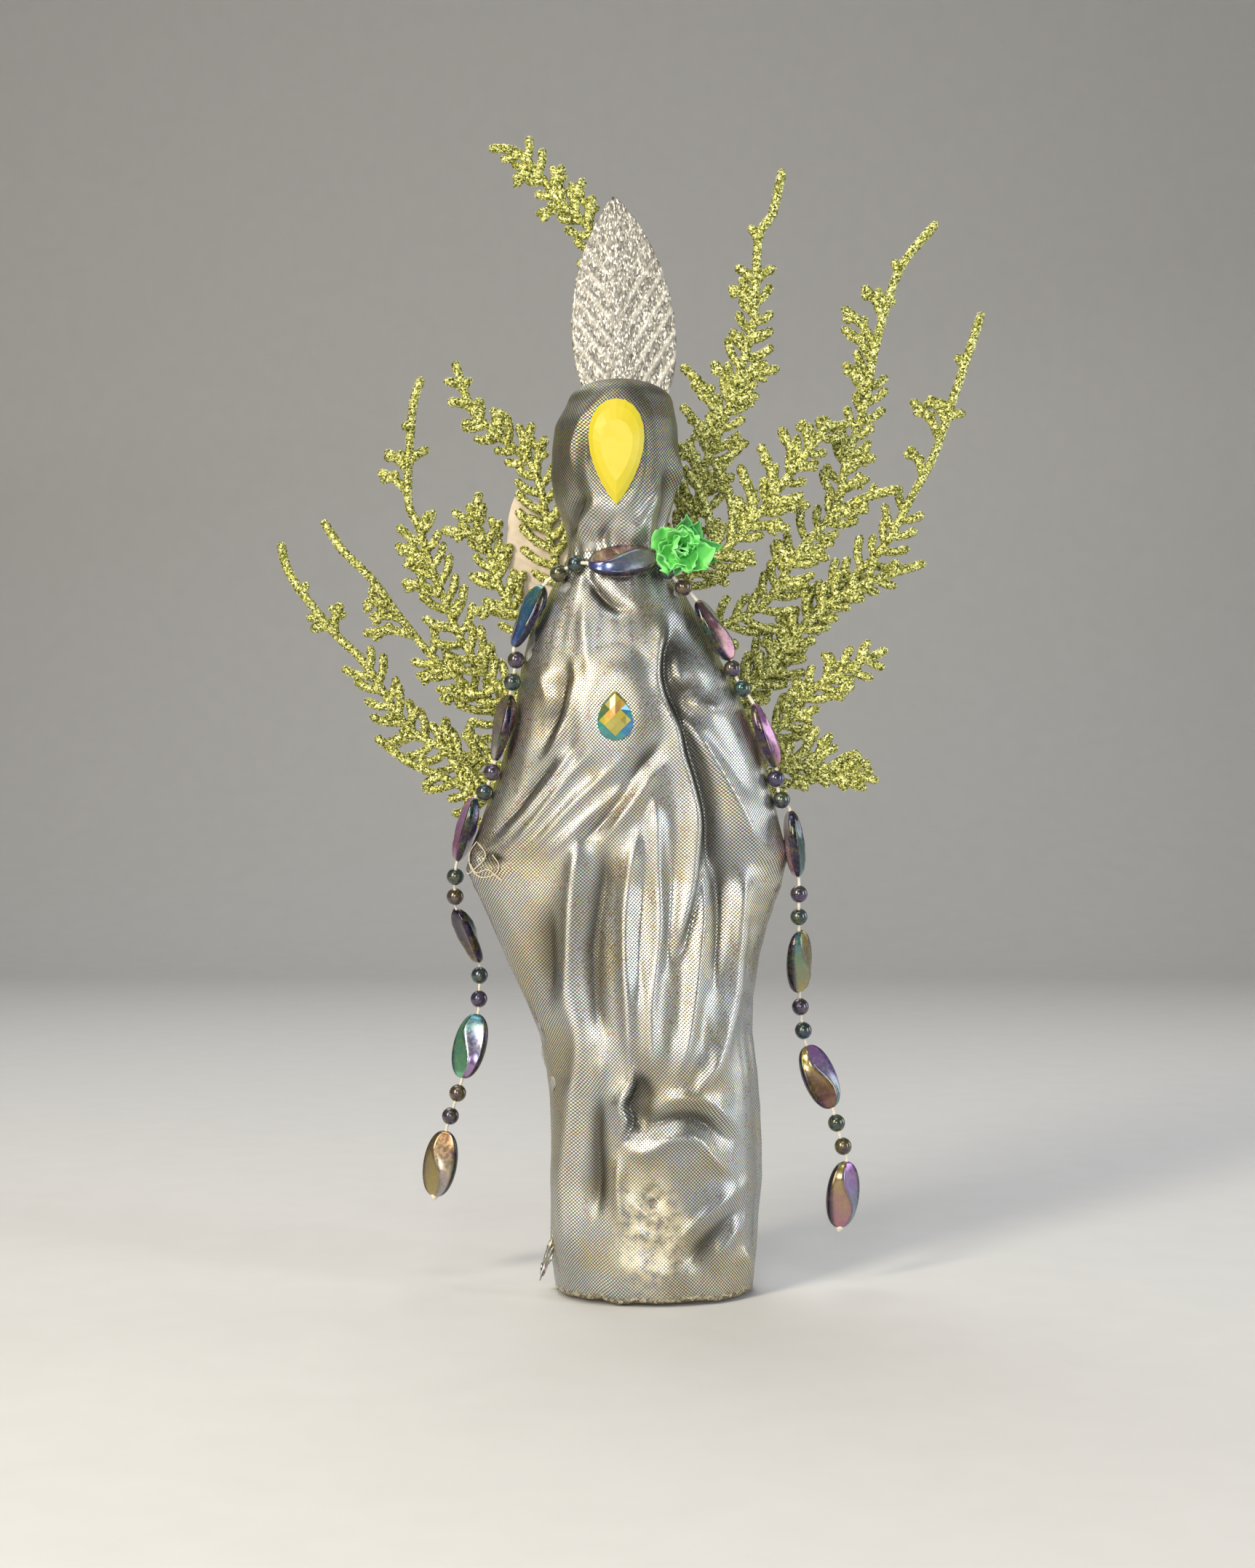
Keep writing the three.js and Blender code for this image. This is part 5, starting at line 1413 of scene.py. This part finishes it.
def add_petal(bm, foot, turn, lift, length, width, point, crumple, shade, seed):
    """Petal that grows from the foot: turned round the bloom's axis and lifted off the cloth."""
    made = bmesh.ops.create_grid(bm, x_segments=14, y_segments=14, size=1.0)["verts"]
    layer = bm.verts.layers.float.get("shade")
    frame = Matrix.Translation(foot) @ Matrix.Rotation(turn, 4, "Y") @ Matrix.Rotation(lift, 4, "X")
    for vert in made:
        side, share = vert.co.x, (vert.co.y + 1) / 2
        fullness = 0.86 if point < 0.5 else 1
        bow = math.sin(math.pi * (0.14 + 0.86 * share) ** 0.8 * fullness) ** 0.6
        half = width / 2 * bow * (1 - point * share**3)
        cup = 0.22 * width * side * side * (1 - 0.5 * share)
        spot = Vector((side * half, -cup - 0.12 * length * share**3, share * length))
        wave = noise.noise_vector(spot / COARSE_CRUMPLE + Vector((seed * 7.3, 0, 0)))
        fine = noise.noise_vector(spot / FINE_CRUMPLE + Vector((0, seed * 3.1, 0)))
        edge = max(share, abs(side)) > 0.9
        # Painted shade: darker towards the petal's foot, deep in the bloom; paler paper edges on top
        vert[layer] = shade * (0.75 + 0.25 * share) + 0.12 * (wave.x + fine.y) + edge
        vert.co = frame @ (spot + (wave + 0.45 * fine) * crumple * (0.2 + share))


print("crumple of", COARSE_CRUMPLE / MM, "and", FINE_CRUMPLE / MM, "mm")

# %% [markdown]
# ## Paper rose
# The petals stand in whorls, steeper towards the middle, on a ring of darker pointed leaves. Noise with a
# direction is otherwise seeded by the clock, so a set seed keeps the crumple the same on each run.

# %% Paper rose
ROSE_SEED, PETAL_SEED = 4, 21
# Petals, length and width in mm, lift in degrees and shade of each whorl
WHORLS = [(4, 8.4, 9.5, 28, 0.5), (3, 7.4, 8, 48, 0.75), (3, 6.4, 6.4, 64, 0.95), (3, 5.4, 5, 80, 1.1)]
# Length in mm and turn in degrees of each leaf
LEAF_RING = ((11, 2), (10, 27), (11, 84), (10, 106), (7.5, -40), (7, 200))
LEAF_HUB = (8.2 * MM, SEAM + 0.8 * MM)
PETAL_PAPER, LEAF_PAPER = 0.18 * MM, 0.2 * MM


def make_rose():
    low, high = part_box("rose_bloom")
    middle = Vector((low.x + high.x, 2 * high.y, low.z + high.z)) / 2
    bloom = bmesh.new()
    bloom.verts.layers.float.new("shade")
    seed = 0
    rng = random.Random(PETAL_SEED)
    for count, length, width, lift, shade in WHORLS:
        for k in range(count):
            turn = 2 * math.pi * (k + 0.37 * count) / count + rng.uniform(-0.4, 0.4)
            seed += 1
            foot = middle + Vector((math.sin(turn), 0, math.cos(turn))) * rng.uniform(0.5, 1.4) * MM
            size = rng.uniform(0.85, 1.12) * MM
            raised = math.radians(lift + rng.uniform(-12, 8))
            tone = shade * rng.uniform(0.75, 1.1)
            add_petal(bloom, foot, turn, raised, length * size, width * size, 0.2, 2.0 * MM, tone, seed)
    green = paper_finish("rose_paper", (0.02, 0.36, 0.04), (0.2, 0.78, 0.16))
    thicken(piece_from(bloom, "paper_rose", green, "rose", stands_for=["rose_bloom"]), PETAL_PAPER)
    low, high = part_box("rose_leaves")
    leaves = bmesh.new()
    leaves.verts.layers.float.new("shade")
    hub = Vector((LEAF_HUB[0], (low.y + high.y) / 2, LEAF_HUB[1]))
    for length, turn in LEAF_RING:
        seed += 1
        add_petal(leaves, hub, math.radians(turn), math.radians(8), length * MM, 0.75 * length * MM, 0.85,
                  0.7 * MM, 0.4, seed)
    dark = paper_finish("leaf_paper", (0.02, 0.25, 0.05), (0.06, 0.5, 0.1))
    thicken(piece_from(leaves, "paper_leaves", dark, "rose_leaf", stands_for=["rose_leaves"]), LEAF_PAPER)


noise.seed_set(ROSE_SEED)
make_rose()
print("paper rose")

# %% [markdown]
# ## Bead coating
# The garland is moulded plastic with a dark coating that shines like oil on water. The ovals' colours, as
# the photograph shows them, are kept in an attribute, `sheen`, and the small beads take theirs by turns.
# The finish lays thin streaks of other colours and fine cracks over them.

# %% Bead coating
TEAL, BLUE, VIOLET = (0.025, 0.22, 0.22), (0.05, 0.11, 0.4), (0.38, 0.17, 0.47)
PINK, GOLD, GREEN = (0.4, 0.17, 0.24), (0.38, 0.31, 0.08), (0.08, 0.3, 0.14)
MINT, ORANGE, WINE = (0.17, 0.5, 0.3), (0.4, 0.22, 0.08), (0.17, 0.06, 0.06)
OLIVE = (0.24, 0.28, 0.15)
BROWN, SILVER, INK = (0.1, 0.065, 0.035), (0.4, 0.4, 0.38), (0.006, 0.007, 0.01)
OVAL_COLORS = {
    "garland_neck": ((BLUE, OLIVE), (BROWN, WINE)), "garland_left_1": ((BLUE, INK), (TEAL, BLUE)),
    "garland_left_2": ((PINK, WINE), (BROWN, SILVER)), "garland_left_3": ((BLUE, WINE), (VIOLET, PINK)),
    "garland_right_1": ((BROWN, PINK), (SILVER, GREEN)), "garland_right_2": ((VIOLET, PINK), (PINK, SILVER)),
    "garland_right_3": ((INK, TEAL), (SILVER, PINK)), "bead_left_3": ((INK, GREEN), (INK, BROWN)),
    "bead_left_6": ((GREEN, MINT), (TEAL, VIOLET)), "bead_left_9": ((BROWN, GOLD), (ORANGE, SILVER)),
    "bead_right_3": ((TEAL, GOLD), (GOLD, BROWN)), "bead_right_6": ((GOLD, WINE), (VIOLET, TEAL)),
    "bead_right_9": ((GOLD, PINK), (VIOLET, TEAL)),
}


def bead_finish():
    finish = Finish("bead_coating")
    sheen = finish.attribute("sheen", "Color")
    drift = finish.noise(230, 2)
    oil = finish.ramp(drift, (0.3, (0.02, 0.16, 0.3)), (0.45, (0.25, 0.08, 0.4)), (0.55, (0.5, 0.38, 0.1)),
                      (0.7, (0.03, 0.35, 0.28)))
    stripes = finish.noise(900, 1).between(0.35, 0.65)
    color = finish.mix(0.05 + stripes * 0.12, sheen, oil)
    crackle = finish.cells(620, "Distance", feature="DISTANCE_TO_EDGE").between(0.07, 0.0)
    color = finish.mix(crackle * 0.07, color, (0.6, 0.55, 0.42))
    return finish.set(Base_Color=color, Metallic=0.62, Roughness=0.17 + stripes * 0.12, Coat_Weight=0.3)


BEAD = bead_finish()
STRING = fibre_finish("garland_string", 1800, 3, (0.66, 0.6, 0.48), (0.88, 0.84, 0.74), 0.7, 0.1 * MM)


print(len(OVAL_COLORS), "ovals with two colours on each facet")

# %% [markdown]
# ## Bead shapes
# Pairs of small round beads alternate with long ovals, which have an S-shaped ridge between two hollow
# facets on each face. A sphere is reshaped ring by ring into the oval, and its facets get different
# colours, with painted shadow in the groove and colour that darkens to ink towards the rim. A round bead
# keeps a raised seam from its mould.

# %% Bead shapes
ROUND_RADIUS = 2.5 * MM
OVAL_LENGTH, OVAL_WIDTH, OVAL_THICKNESS = 19.5 * MM, 10.4 * MM, 6 * MM
HOLLOW_EDGE = 0.3               # share of the thickness where a facet begins
RIDGE_BEND, RIDGE_SWAY = 2.4, 0.5
DARK_EDGE = (0.02, 0.022, 0.024)
SEAM_RISE, SEAM_WIDTH = 0.035, 0.09


def blended(first, second, share):
    return [a + (b - a) * share for a, b in zip(first, second)]


def add_oval(bm, place, colors):
    made = bmesh.ops.create_uvsphere(bm, u_segments=40, v_segments=26, radius=1.0)["verts"]
    sheen = bm.verts.layers.float_color.get("sheen")
    (lower_top, lower_end), (upper_top, upper_end) = colors
    for vert in made:
        share = max(-1, min(1, vert.co.z))
        taper = max(math.sqrt(1 - share * share), 1e-4)
        half, thick = OVAL_WIDTH / 2 * taper**0.85, OVAL_THICKNESS / 2 * taper**0.8
        face = 1 if vert.co.y >= 0 else -1
        x = half * max(-1, min(1, vert.co.x / taper))
        rim = min(1, abs(vert.co.y) / taper / HOLLOW_EDGE)
        ridge = RIDGE_SWAY * half * math.sin(RIDGE_BEND * share) * face
        slope = (x - ridge) / (half - ridge) if x > ridge else (ridge - x) / (half + ridge)
        y = face * thick * (0.4 * rim + 0.6 * (1 - min(slope, 1)) ** 1.35 * rim)
        facet = 0.5 + 0.5 * math.tanh((x - ridge) * face / (0.09 * half))
        down = (share + 1) / 2
        color = blended(blended(lower_top, lower_end, down), blended(upper_top, upper_end, down), facet)
        # Painted shadow in the groove; the colour also darkens to ink towards the rim and the facets' outer
        # edges
        groove_shadow = math.exp(-((x - ridge) / (0.08 * half)) ** 2)
        dark = 0.9 * (1 - rim) + 0.8 * smoothstep(slope, 0.72, 0.95) + 0.5 * groove_shadow
        color = blended(color, INK, min(1, dark))
        vert[sheen] = (*color, 1)
        vert.co = place @ Vector((x, y, share * OVAL_LENGTH / 2))


def add_round(bm, place, tint):
    made = bmesh.ops.create_uvsphere(bm, u_segments=22, v_segments=14, radius=ROUND_RADIUS)["verts"]
    sheen = bm.verts.layers.float_color.get("sheen")
    for vert in made:
        unit = vert.co / ROUND_RADIUS
        swirl = 0.5 + 0.5 * noise.noise(unit * 1.4 + Vector(tint) * 9)
        vert[sheen] = (*blended(DARK_EDGE, tint, swirl * 0.65), 1)
        vert.co *= 1 + SEAM_RISE * math.exp(-((unit.y / SEAM_WIDTH) ** 2))
    bmesh.ops.transform(bm, matrix=place, verts=made)


def bead_frame(middle, along, face):
    z = along.normalized()
    x = z.cross(face).normalized()
    return Matrix.Translation(middle) @ Matrix((x, z.cross(x), z)).transposed().to_4x4()


print("ovals of", OVAL_LENGTH / MM, "mm, balls of", 2 * ROUND_RADIUS / MM, "mm")

# %% [markdown]
# ## Where the beads lie
# Places copied by hand would go stale when a size changes, so they are read from the solids: each
# triangle of a ball points back at the ball's centre, and an oval's corners spread most along its string.

# %% Where the beads lie
STRING_RADIUS = 0.7 * MM


def triangles(node):
    mesh = nodes[node].data
    places = np.array([vert.co[:] for vert in mesh.vertices])
    return places[np.array([face.vertices[:] for face in mesh.polygons])]


def ball_centres(node, radius, count):
    """Centres of a solid's balls: the places that most of its triangles point back at."""
    a, b, c = triangles(node).transpose(1, 0, 2)
    ab, ac = b - a, c - a
    normal = np.cross(ab, ac)
    size = (normal**2).sum(1, keepdims=True)
    middle = a + (np.cross(normal, ab) * (ac**2).sum(1, keepdims=True)
                  + np.cross(ac, normal) * (ab**2).sum(1, keepdims=True)) / (2 * size)
    short = radius**2 - ((middle - a) ** 2).sum(1, keepdims=True)
    votes = (middle - normal / np.sqrt(size) * np.sqrt(np.clip(short, 0, None)))[short[:, 0] > 0]
    centres = []
    for _ in range(count):
        near = np.linalg.norm(votes[:, None] - votes[None], axis=2) < 0.08 * MM
        best = near[np.argmax(near.sum(1))]
        centres.append(Vector(votes[best].mean(0)))
        votes = votes[np.linalg.norm(votes - votes[best].mean(0), axis=1) > radius]
    return centres


def oval_axes(node, balls):
    """Middle, string direction and face direction of the oval in a solid."""
    places = np.unique(triangles(node).reshape(-1, 3).round(7), axis=0)
    for ball in balls:
        places = places[np.linalg.norm(places - np.array(ball), axis=1) > 1.35 * ROUND_RADIUS]
    for _ in range(4):
        middle = (places.max(0) + places.min(0)) / 2 if len(places) < 8 else places.mean(0)
        axes = np.linalg.svd(places - middle)[2]
        offset = places - middle
        from_axis = np.linalg.norm(offset - np.outer(offset @ axes[0], axes[0]), axis=1)
        places = places[from_axis > 1.1 * STRING_RADIUS]
    return Vector(middle), Vector(axes[0]), Vector(axes[2])


print("neck bead at", oval_axes("garland_neck", [])[0][:])

# %% [markdown]
# ## Glued garland
# One garland runs over the neck and down both sides, with three glued stretches on each. A curve through
# the beads makes the string. The bead at the neck is turned about its string, because the photograph
# shows its edge.

# %% Glued garland
SIDES = {"left": -1, "right": 1}
NECK_TURN = math.radians(36)
THREAD_RADIUS = 0.5 * MM


def new_beads():
    bm = bmesh.new()
    bm.verts.layers.float_color.new("sheen")
    return bm


ROUND_TINTS = [(0.06, 0.17, 0.19), (0.16, 0.13, 0.22), (0.08, 0.19, 0.13), (0.25, 0.2, 0.09),
               (0.16, 0.15, 0.17)]
OVAL_END = OVAL_LENGTH / 2 - MM
strung = {side: [] for side in SIDES}
neck = oval_axes("garland_neck", [])
forward = neck[2] if neck[2].y < 0 else -neck[2]
turned = forward * math.cos(NECK_TURN) + Vector((0, 0, math.sin(NECK_TURN)))
bm = new_beads()
add_oval(bm, bead_frame(neck[0], neck[1], turned), OVAL_COLORS["garland_neck"])
piece_from(bm, "neck_bead", BEAD, "bead", stands_for=["garland_neck"])
for side, outward in SIDES.items():
    strung[side].append(neck[0] + neck[1] * math.copysign(OVAL_END, neck[1].x * outward))
    for i in (1, 2, 3):
        node = f"garland_{side}_{i}"
        balls = ball_centres(node, ROUND_RADIUS, 2)
        middle, along, face = oval_axes(node, balls)
        balls.sort(key=lambda ball: -(ball - middle).length)
        if along.dot(middle - balls[0]) < 0:
            along = -along
        bm = new_beads()
        for k, ball in enumerate(balls):
            add_round(bm, bead_frame(ball, along, face), ROUND_TINTS[(i * 2 + k) % len(ROUND_TINTS)])
        add_oval(bm, bead_frame(middle, along, face), OVAL_COLORS[node])
        piece_from(bm, f"glued_beads_{side}_{i}", BEAD, "bead", stands_for=[node])
        strung[side] += [*balls, middle - along * OVAL_END, middle + along * OVAL_END]
    path = curve_points(strung[side], 0.8 * MM)
    finish_piece(tubes(f"glued_string_{side}", [(path, [THREAD_RADIUS] * len(path))]), STRING, "bead")
print("garland glued, last ends at", [strung[side][-1][:] for side in SIDES])

# %% [markdown]
# ## Hanging ends
# Below the elbows each bead is a body of its own. The string between two beads is cut into links, each a
# short tube across the hinge.

# %% Hanging ends
HANG_BEADS = ["round", "round", "oval"] * 3
LINK_REACH = 1.6 * MM


def hanging_bead(side, i, kind, pivot, along):
    length = OVAL_LENGTH if kind == "oval" else 2 * ROUND_RADIUS
    middle = pivot + along * (MM + length / 2)
    node = f"bead_{side}_{i}"
    face = oval_axes(node, [])[2] if kind == "oval" else Vector((0, -1, 0))
    frame_of = bead_frame(middle, along, face if face.y < 0 else -face)
    bm = new_beads()
    if kind == "oval":
        add_oval(bm, frame_of, OVAL_COLORS[node])
    else:
        add_round(bm, frame_of, ROUND_TINTS[(i + (side == "left")) % len(ROUND_TINTS)])
    piece_from(bm, f"free_{node}", BEAD, "bead", body=node, stands_for=[node])
    return middle + along * length / 2


for side in SIDES:
    pivots = [hinges[f"bead_{side}_{i}"] for i in range(1, 10)]
    last = triangles(f"bead_{side}_9").reshape(-1, 3)
    tip = Vector(last[np.argmax(np.linalg.norm(last - np.array(pivots[-1]), axis=1))])
    before = (pivots[0] - strung[side][-1]).normalized()
    for i, (pivot, ahead) in enumerate(zip(pivots, [*pivots[1:], tip]), start=1):
        along = (ahead - pivot).normalized()
        tail = hanging_bead(side, i, HANG_BEADS[i - 1], pivot, along)
        start, end = pivot - before * LINK_REACH, pivot + along * LINK_REACH
        path = curve_points([start, pivot, end], 0.4 * MM)
        bends = [math.sin(math.pi * k / (len(path) - 1)) for k in range(len(path))]
        radii = [THREAD_RADIUS * (1 - 0.15 * bend) for bend in bends]
        link = finish_piece(tubes(f"link_{side}_{i}", [(path, radii)]), STRING, "bead", body=None)
        tuple(pivot - before * MM)
        tuple(pivot + along * MM)
        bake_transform(link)
        before = along
    nub = curve_points([tail - before * MM, tail + before * 0.4 * MM, tail + before * 1.2 * MM], 0.2 * MM)
    swell = [1.1 * MM * math.sin(math.pi * (0.25 + 0.7 * k / (len(nub) - 1))) for k in range(len(nub))]
    finish_piece(tubes(f"nub_{side}", [(nub, swell)]), STRING, "bead", body=f"bead_{side}_9")
print("18 free beads")

# %% [markdown]
# ## Glue
# Hand work leaves traces, such as clear hot glue under the garland and along the skirt's edge. Each blob
# is a dented ball, pressed flat on the cloth where the photograph shows it: a ray from the camera through
# a pixel finds the cloth and its slope.

# %% Glue
CLOTHS = search_tree(cloth.data for cloth in (body_cloth, head_cloth))


def on_cloth(px, py):
    """Place and slope of the cloth behind a pixel; past its edge, the nearest place on the cloth."""
    ahead = (photo_point(px, py) - EYE).normalized()
    place, normal, _, _ = CLOTHS.ray_cast(EYE, ahead)
    if place is None:
        place, normal, _, _ = CLOTHS.find_nearest(photo_point(px, py, -4 * MM))
    return place, normal


def glue_finish():
    finish = Finish("hot_glue")
    haze = finish.noise(260, 3)
    color = finish.ramp(haze, (0.3, (0.3, 0.31, 0.3)), (0.7, (0.52, 0.53, 0.52)))
    return finish.set(Base_Color=color, Roughness=0.25 + haze * 0.2, Alpha=0.35 + haze * 0.4,
                      Normal=finish.bump(finish.noise(500, 2), 0.3 * MM))


# Pixel of each blob of glue, and its width and height in mm
GLUE_SPOTS = [(812, 753, 5.0, 3.4), (893, 750, 5.4, 2.6), (777, 808, 3.4, 3.4), (731, 880, 3.6, 7.4),
              (727, 900, 3, 4), (907, 762, 3.0, 2.6), (745, 1420, 2.0, 6.5), (746, 1452, 1.8, 5.5),
              (760, 1490, 3.0, 4.4), (930, 815, 2.6, 3.0)]
GLUE_DEPTH = 0.6 * MM
glue = bmesh.new()
for k, (px, py, wide, high) in enumerate(GLUE_SPOTS):
    place, normal = on_cloth(px, py)
    blob = bmesh.ops.create_icosphere(glue, subdivisions=4, radius=1.0)["verts"]
    for vert in blob:
        vert.co *= 1 + 0.4 * noise.noise(vert.co * 1.1 + Vector((k * 5.1, 0, 0)))
    turn = normal.to_track_quat("Z", "Y").to_matrix().to_4x4()
    bmesh.ops.scale(glue, verts=blob, vec=(wide / 2 * MM, high / 2 * MM, GLUE_DEPTH))
    bmesh.ops.transform(glue, verts=blob, matrix=Matrix.Translation(place) @ turn)
piece_from(glue, "hot_glue", glue_finish(), "batting")
print(len(GLUE_SPOTS), "blobs of glue")

# %% [markdown]
# ## Loose threads
# Threads have come out of the cloth at the left elbow. They are tubes on curves through measured pixels,
# laid on the cloth in the same way as the glue and raised a little.

# %% Loose threads
THREAD = fibre_finish("loose_thread", 1500, 3, (0.55, 0.47, 0.33), (0.82, 0.75, 0.6), 0.85)
LOOSE_RADIUS, LOOSE_RISE = 0.16 * MM, 0.5 * MM
THREADS = [[(657, 1158), (648, 1172), (648, 1192), (661, 1205), (681, 1202), (687, 1190), (678, 1174)],
           [(658, 1159), (668, 1172), (664, 1186), (652, 1196), (640, 1204), (626, 1210)],
           [(648, 1188), (656, 1199), (672, 1196), (690, 1210)]]
routes = []
for thread in THREADS:
    laid = [place + normal * LOOSE_RISE for place, normal in (on_cloth(*pixel) for pixel in thread)]
    path = curve_points(laid, 0.5 * MM)
    routes.append((path, [LOOSE_RADIUS] * len(path)))
threads = finish_piece(tubes("loose_threads", routes, 1), THREAD, "twine")
print(len(THREADS), "threads")

# %% [markdown]
# ## Hem tab
# A frayed tab of the cloth hangs off the hem at the left. It is a small grid in the cloth's own finish,
# narrowed and waved.

# %% Hem tab
TAB_PIXEL = (752, 1745)


def make_hem_tab():
    """Frayed strip that hangs off the hem at the left."""
    tab = bmesh.new()
    bmesh.ops.create_grid(tab, x_segments=10, y_segments=18, size=1.0)
    weave = tab.loops.layers.uv.new("weave")
    height = tab.verts.layers.float.new("crest")
    for face in tab.faces:
        for loop in face.loops:
            loop[weave].uv = (loop.vert.co.x * 3 * MM, loop.vert.co.y * 5 * MM + 0.05)
    root, _ = on_cloth(*TAB_PIXEL)
    for vert in tab.verts:
        side, down = vert.co.x, (1 - vert.co.y) / 2
        frayed = 0.5 * noise.noise(Vector((side, down * 6, 1)))
        narrow = 1.1 + 0.5 * math.sin(math.pi * down) - 0.5 * down + frayed
        wave = noise.noise(Vector((side * 1.5, down * 5, 4)))
        # crest drives the lame's painted shade and painted highlight on the tab
        vert[height] = 0.6 + 0.5 * wave
        spot = Vector((-28.4 - 4.2 * down + side * narrow, 1.2 * wave, 17 - 12.6 * down + 0.8 * side * down))
        vert.co = spot * MM + Vector((0, root.y, 0))
    bmesh.ops.recalc_face_normals(tab, faces=tab.faces)
    return thicken(piece_from(tab, "hem_tab", LAME, "cloth"), CLOTH_THICKNESS)


hem_tab = make_hem_tab()
print("body sheet with", threads.name, "and", hem_tab.name)

# %% [markdown]
# ## Inside
# The stick cross, its lashing, the tube and the disc keep their solids, because they have the right
# shapes. They get a finish of wood, twine and brown board, for whoever takes the doll apart.

# %% Inside


def wood_finish():
    finish = Finish("twig_wood")
    x, y, z = finish.parts(finish.place())
    grain = finish.noise(300, 4, 0.6, finish.add("CombineXYZ", inputs={0: x, 1: y, 2: z * 0.1}))
    color = finish.ramp(grain, (0.3, (0.2, 0.12, 0.06)), (0.7, (0.42, 0.29, 0.16)))
    return finish.set(Base_Color=color, Roughness=0.8, Normal=finish.bump(grain, 0.3 * MM))


WOOD = wood_finish()
BOARD = fibre_finish("board", 500, 5, (0.36, 0.26, 0.15), (0.5, 0.38, 0.24), 0.9, 0.15 * MM)
TWINE = fibre_finish("twine", 900, 4, (0.45, 0.35, 0.2), (0.7, 0.58, 0.38), 0.95, 0.3 * MM)
INNER = {"base_disc": BOARD, "body_tube": BOARD, "center_post": WOOD, "cross_twig": WOOD,
         "arm_lashing": TWINE}
for node, finish in INNER.items():
    coat(nodes[node], finish)
print("inner solids finished")

# %% [markdown]
# ## Sizes
# The box of the finished pieces is found, in metres.

# %% Sizes
low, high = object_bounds()
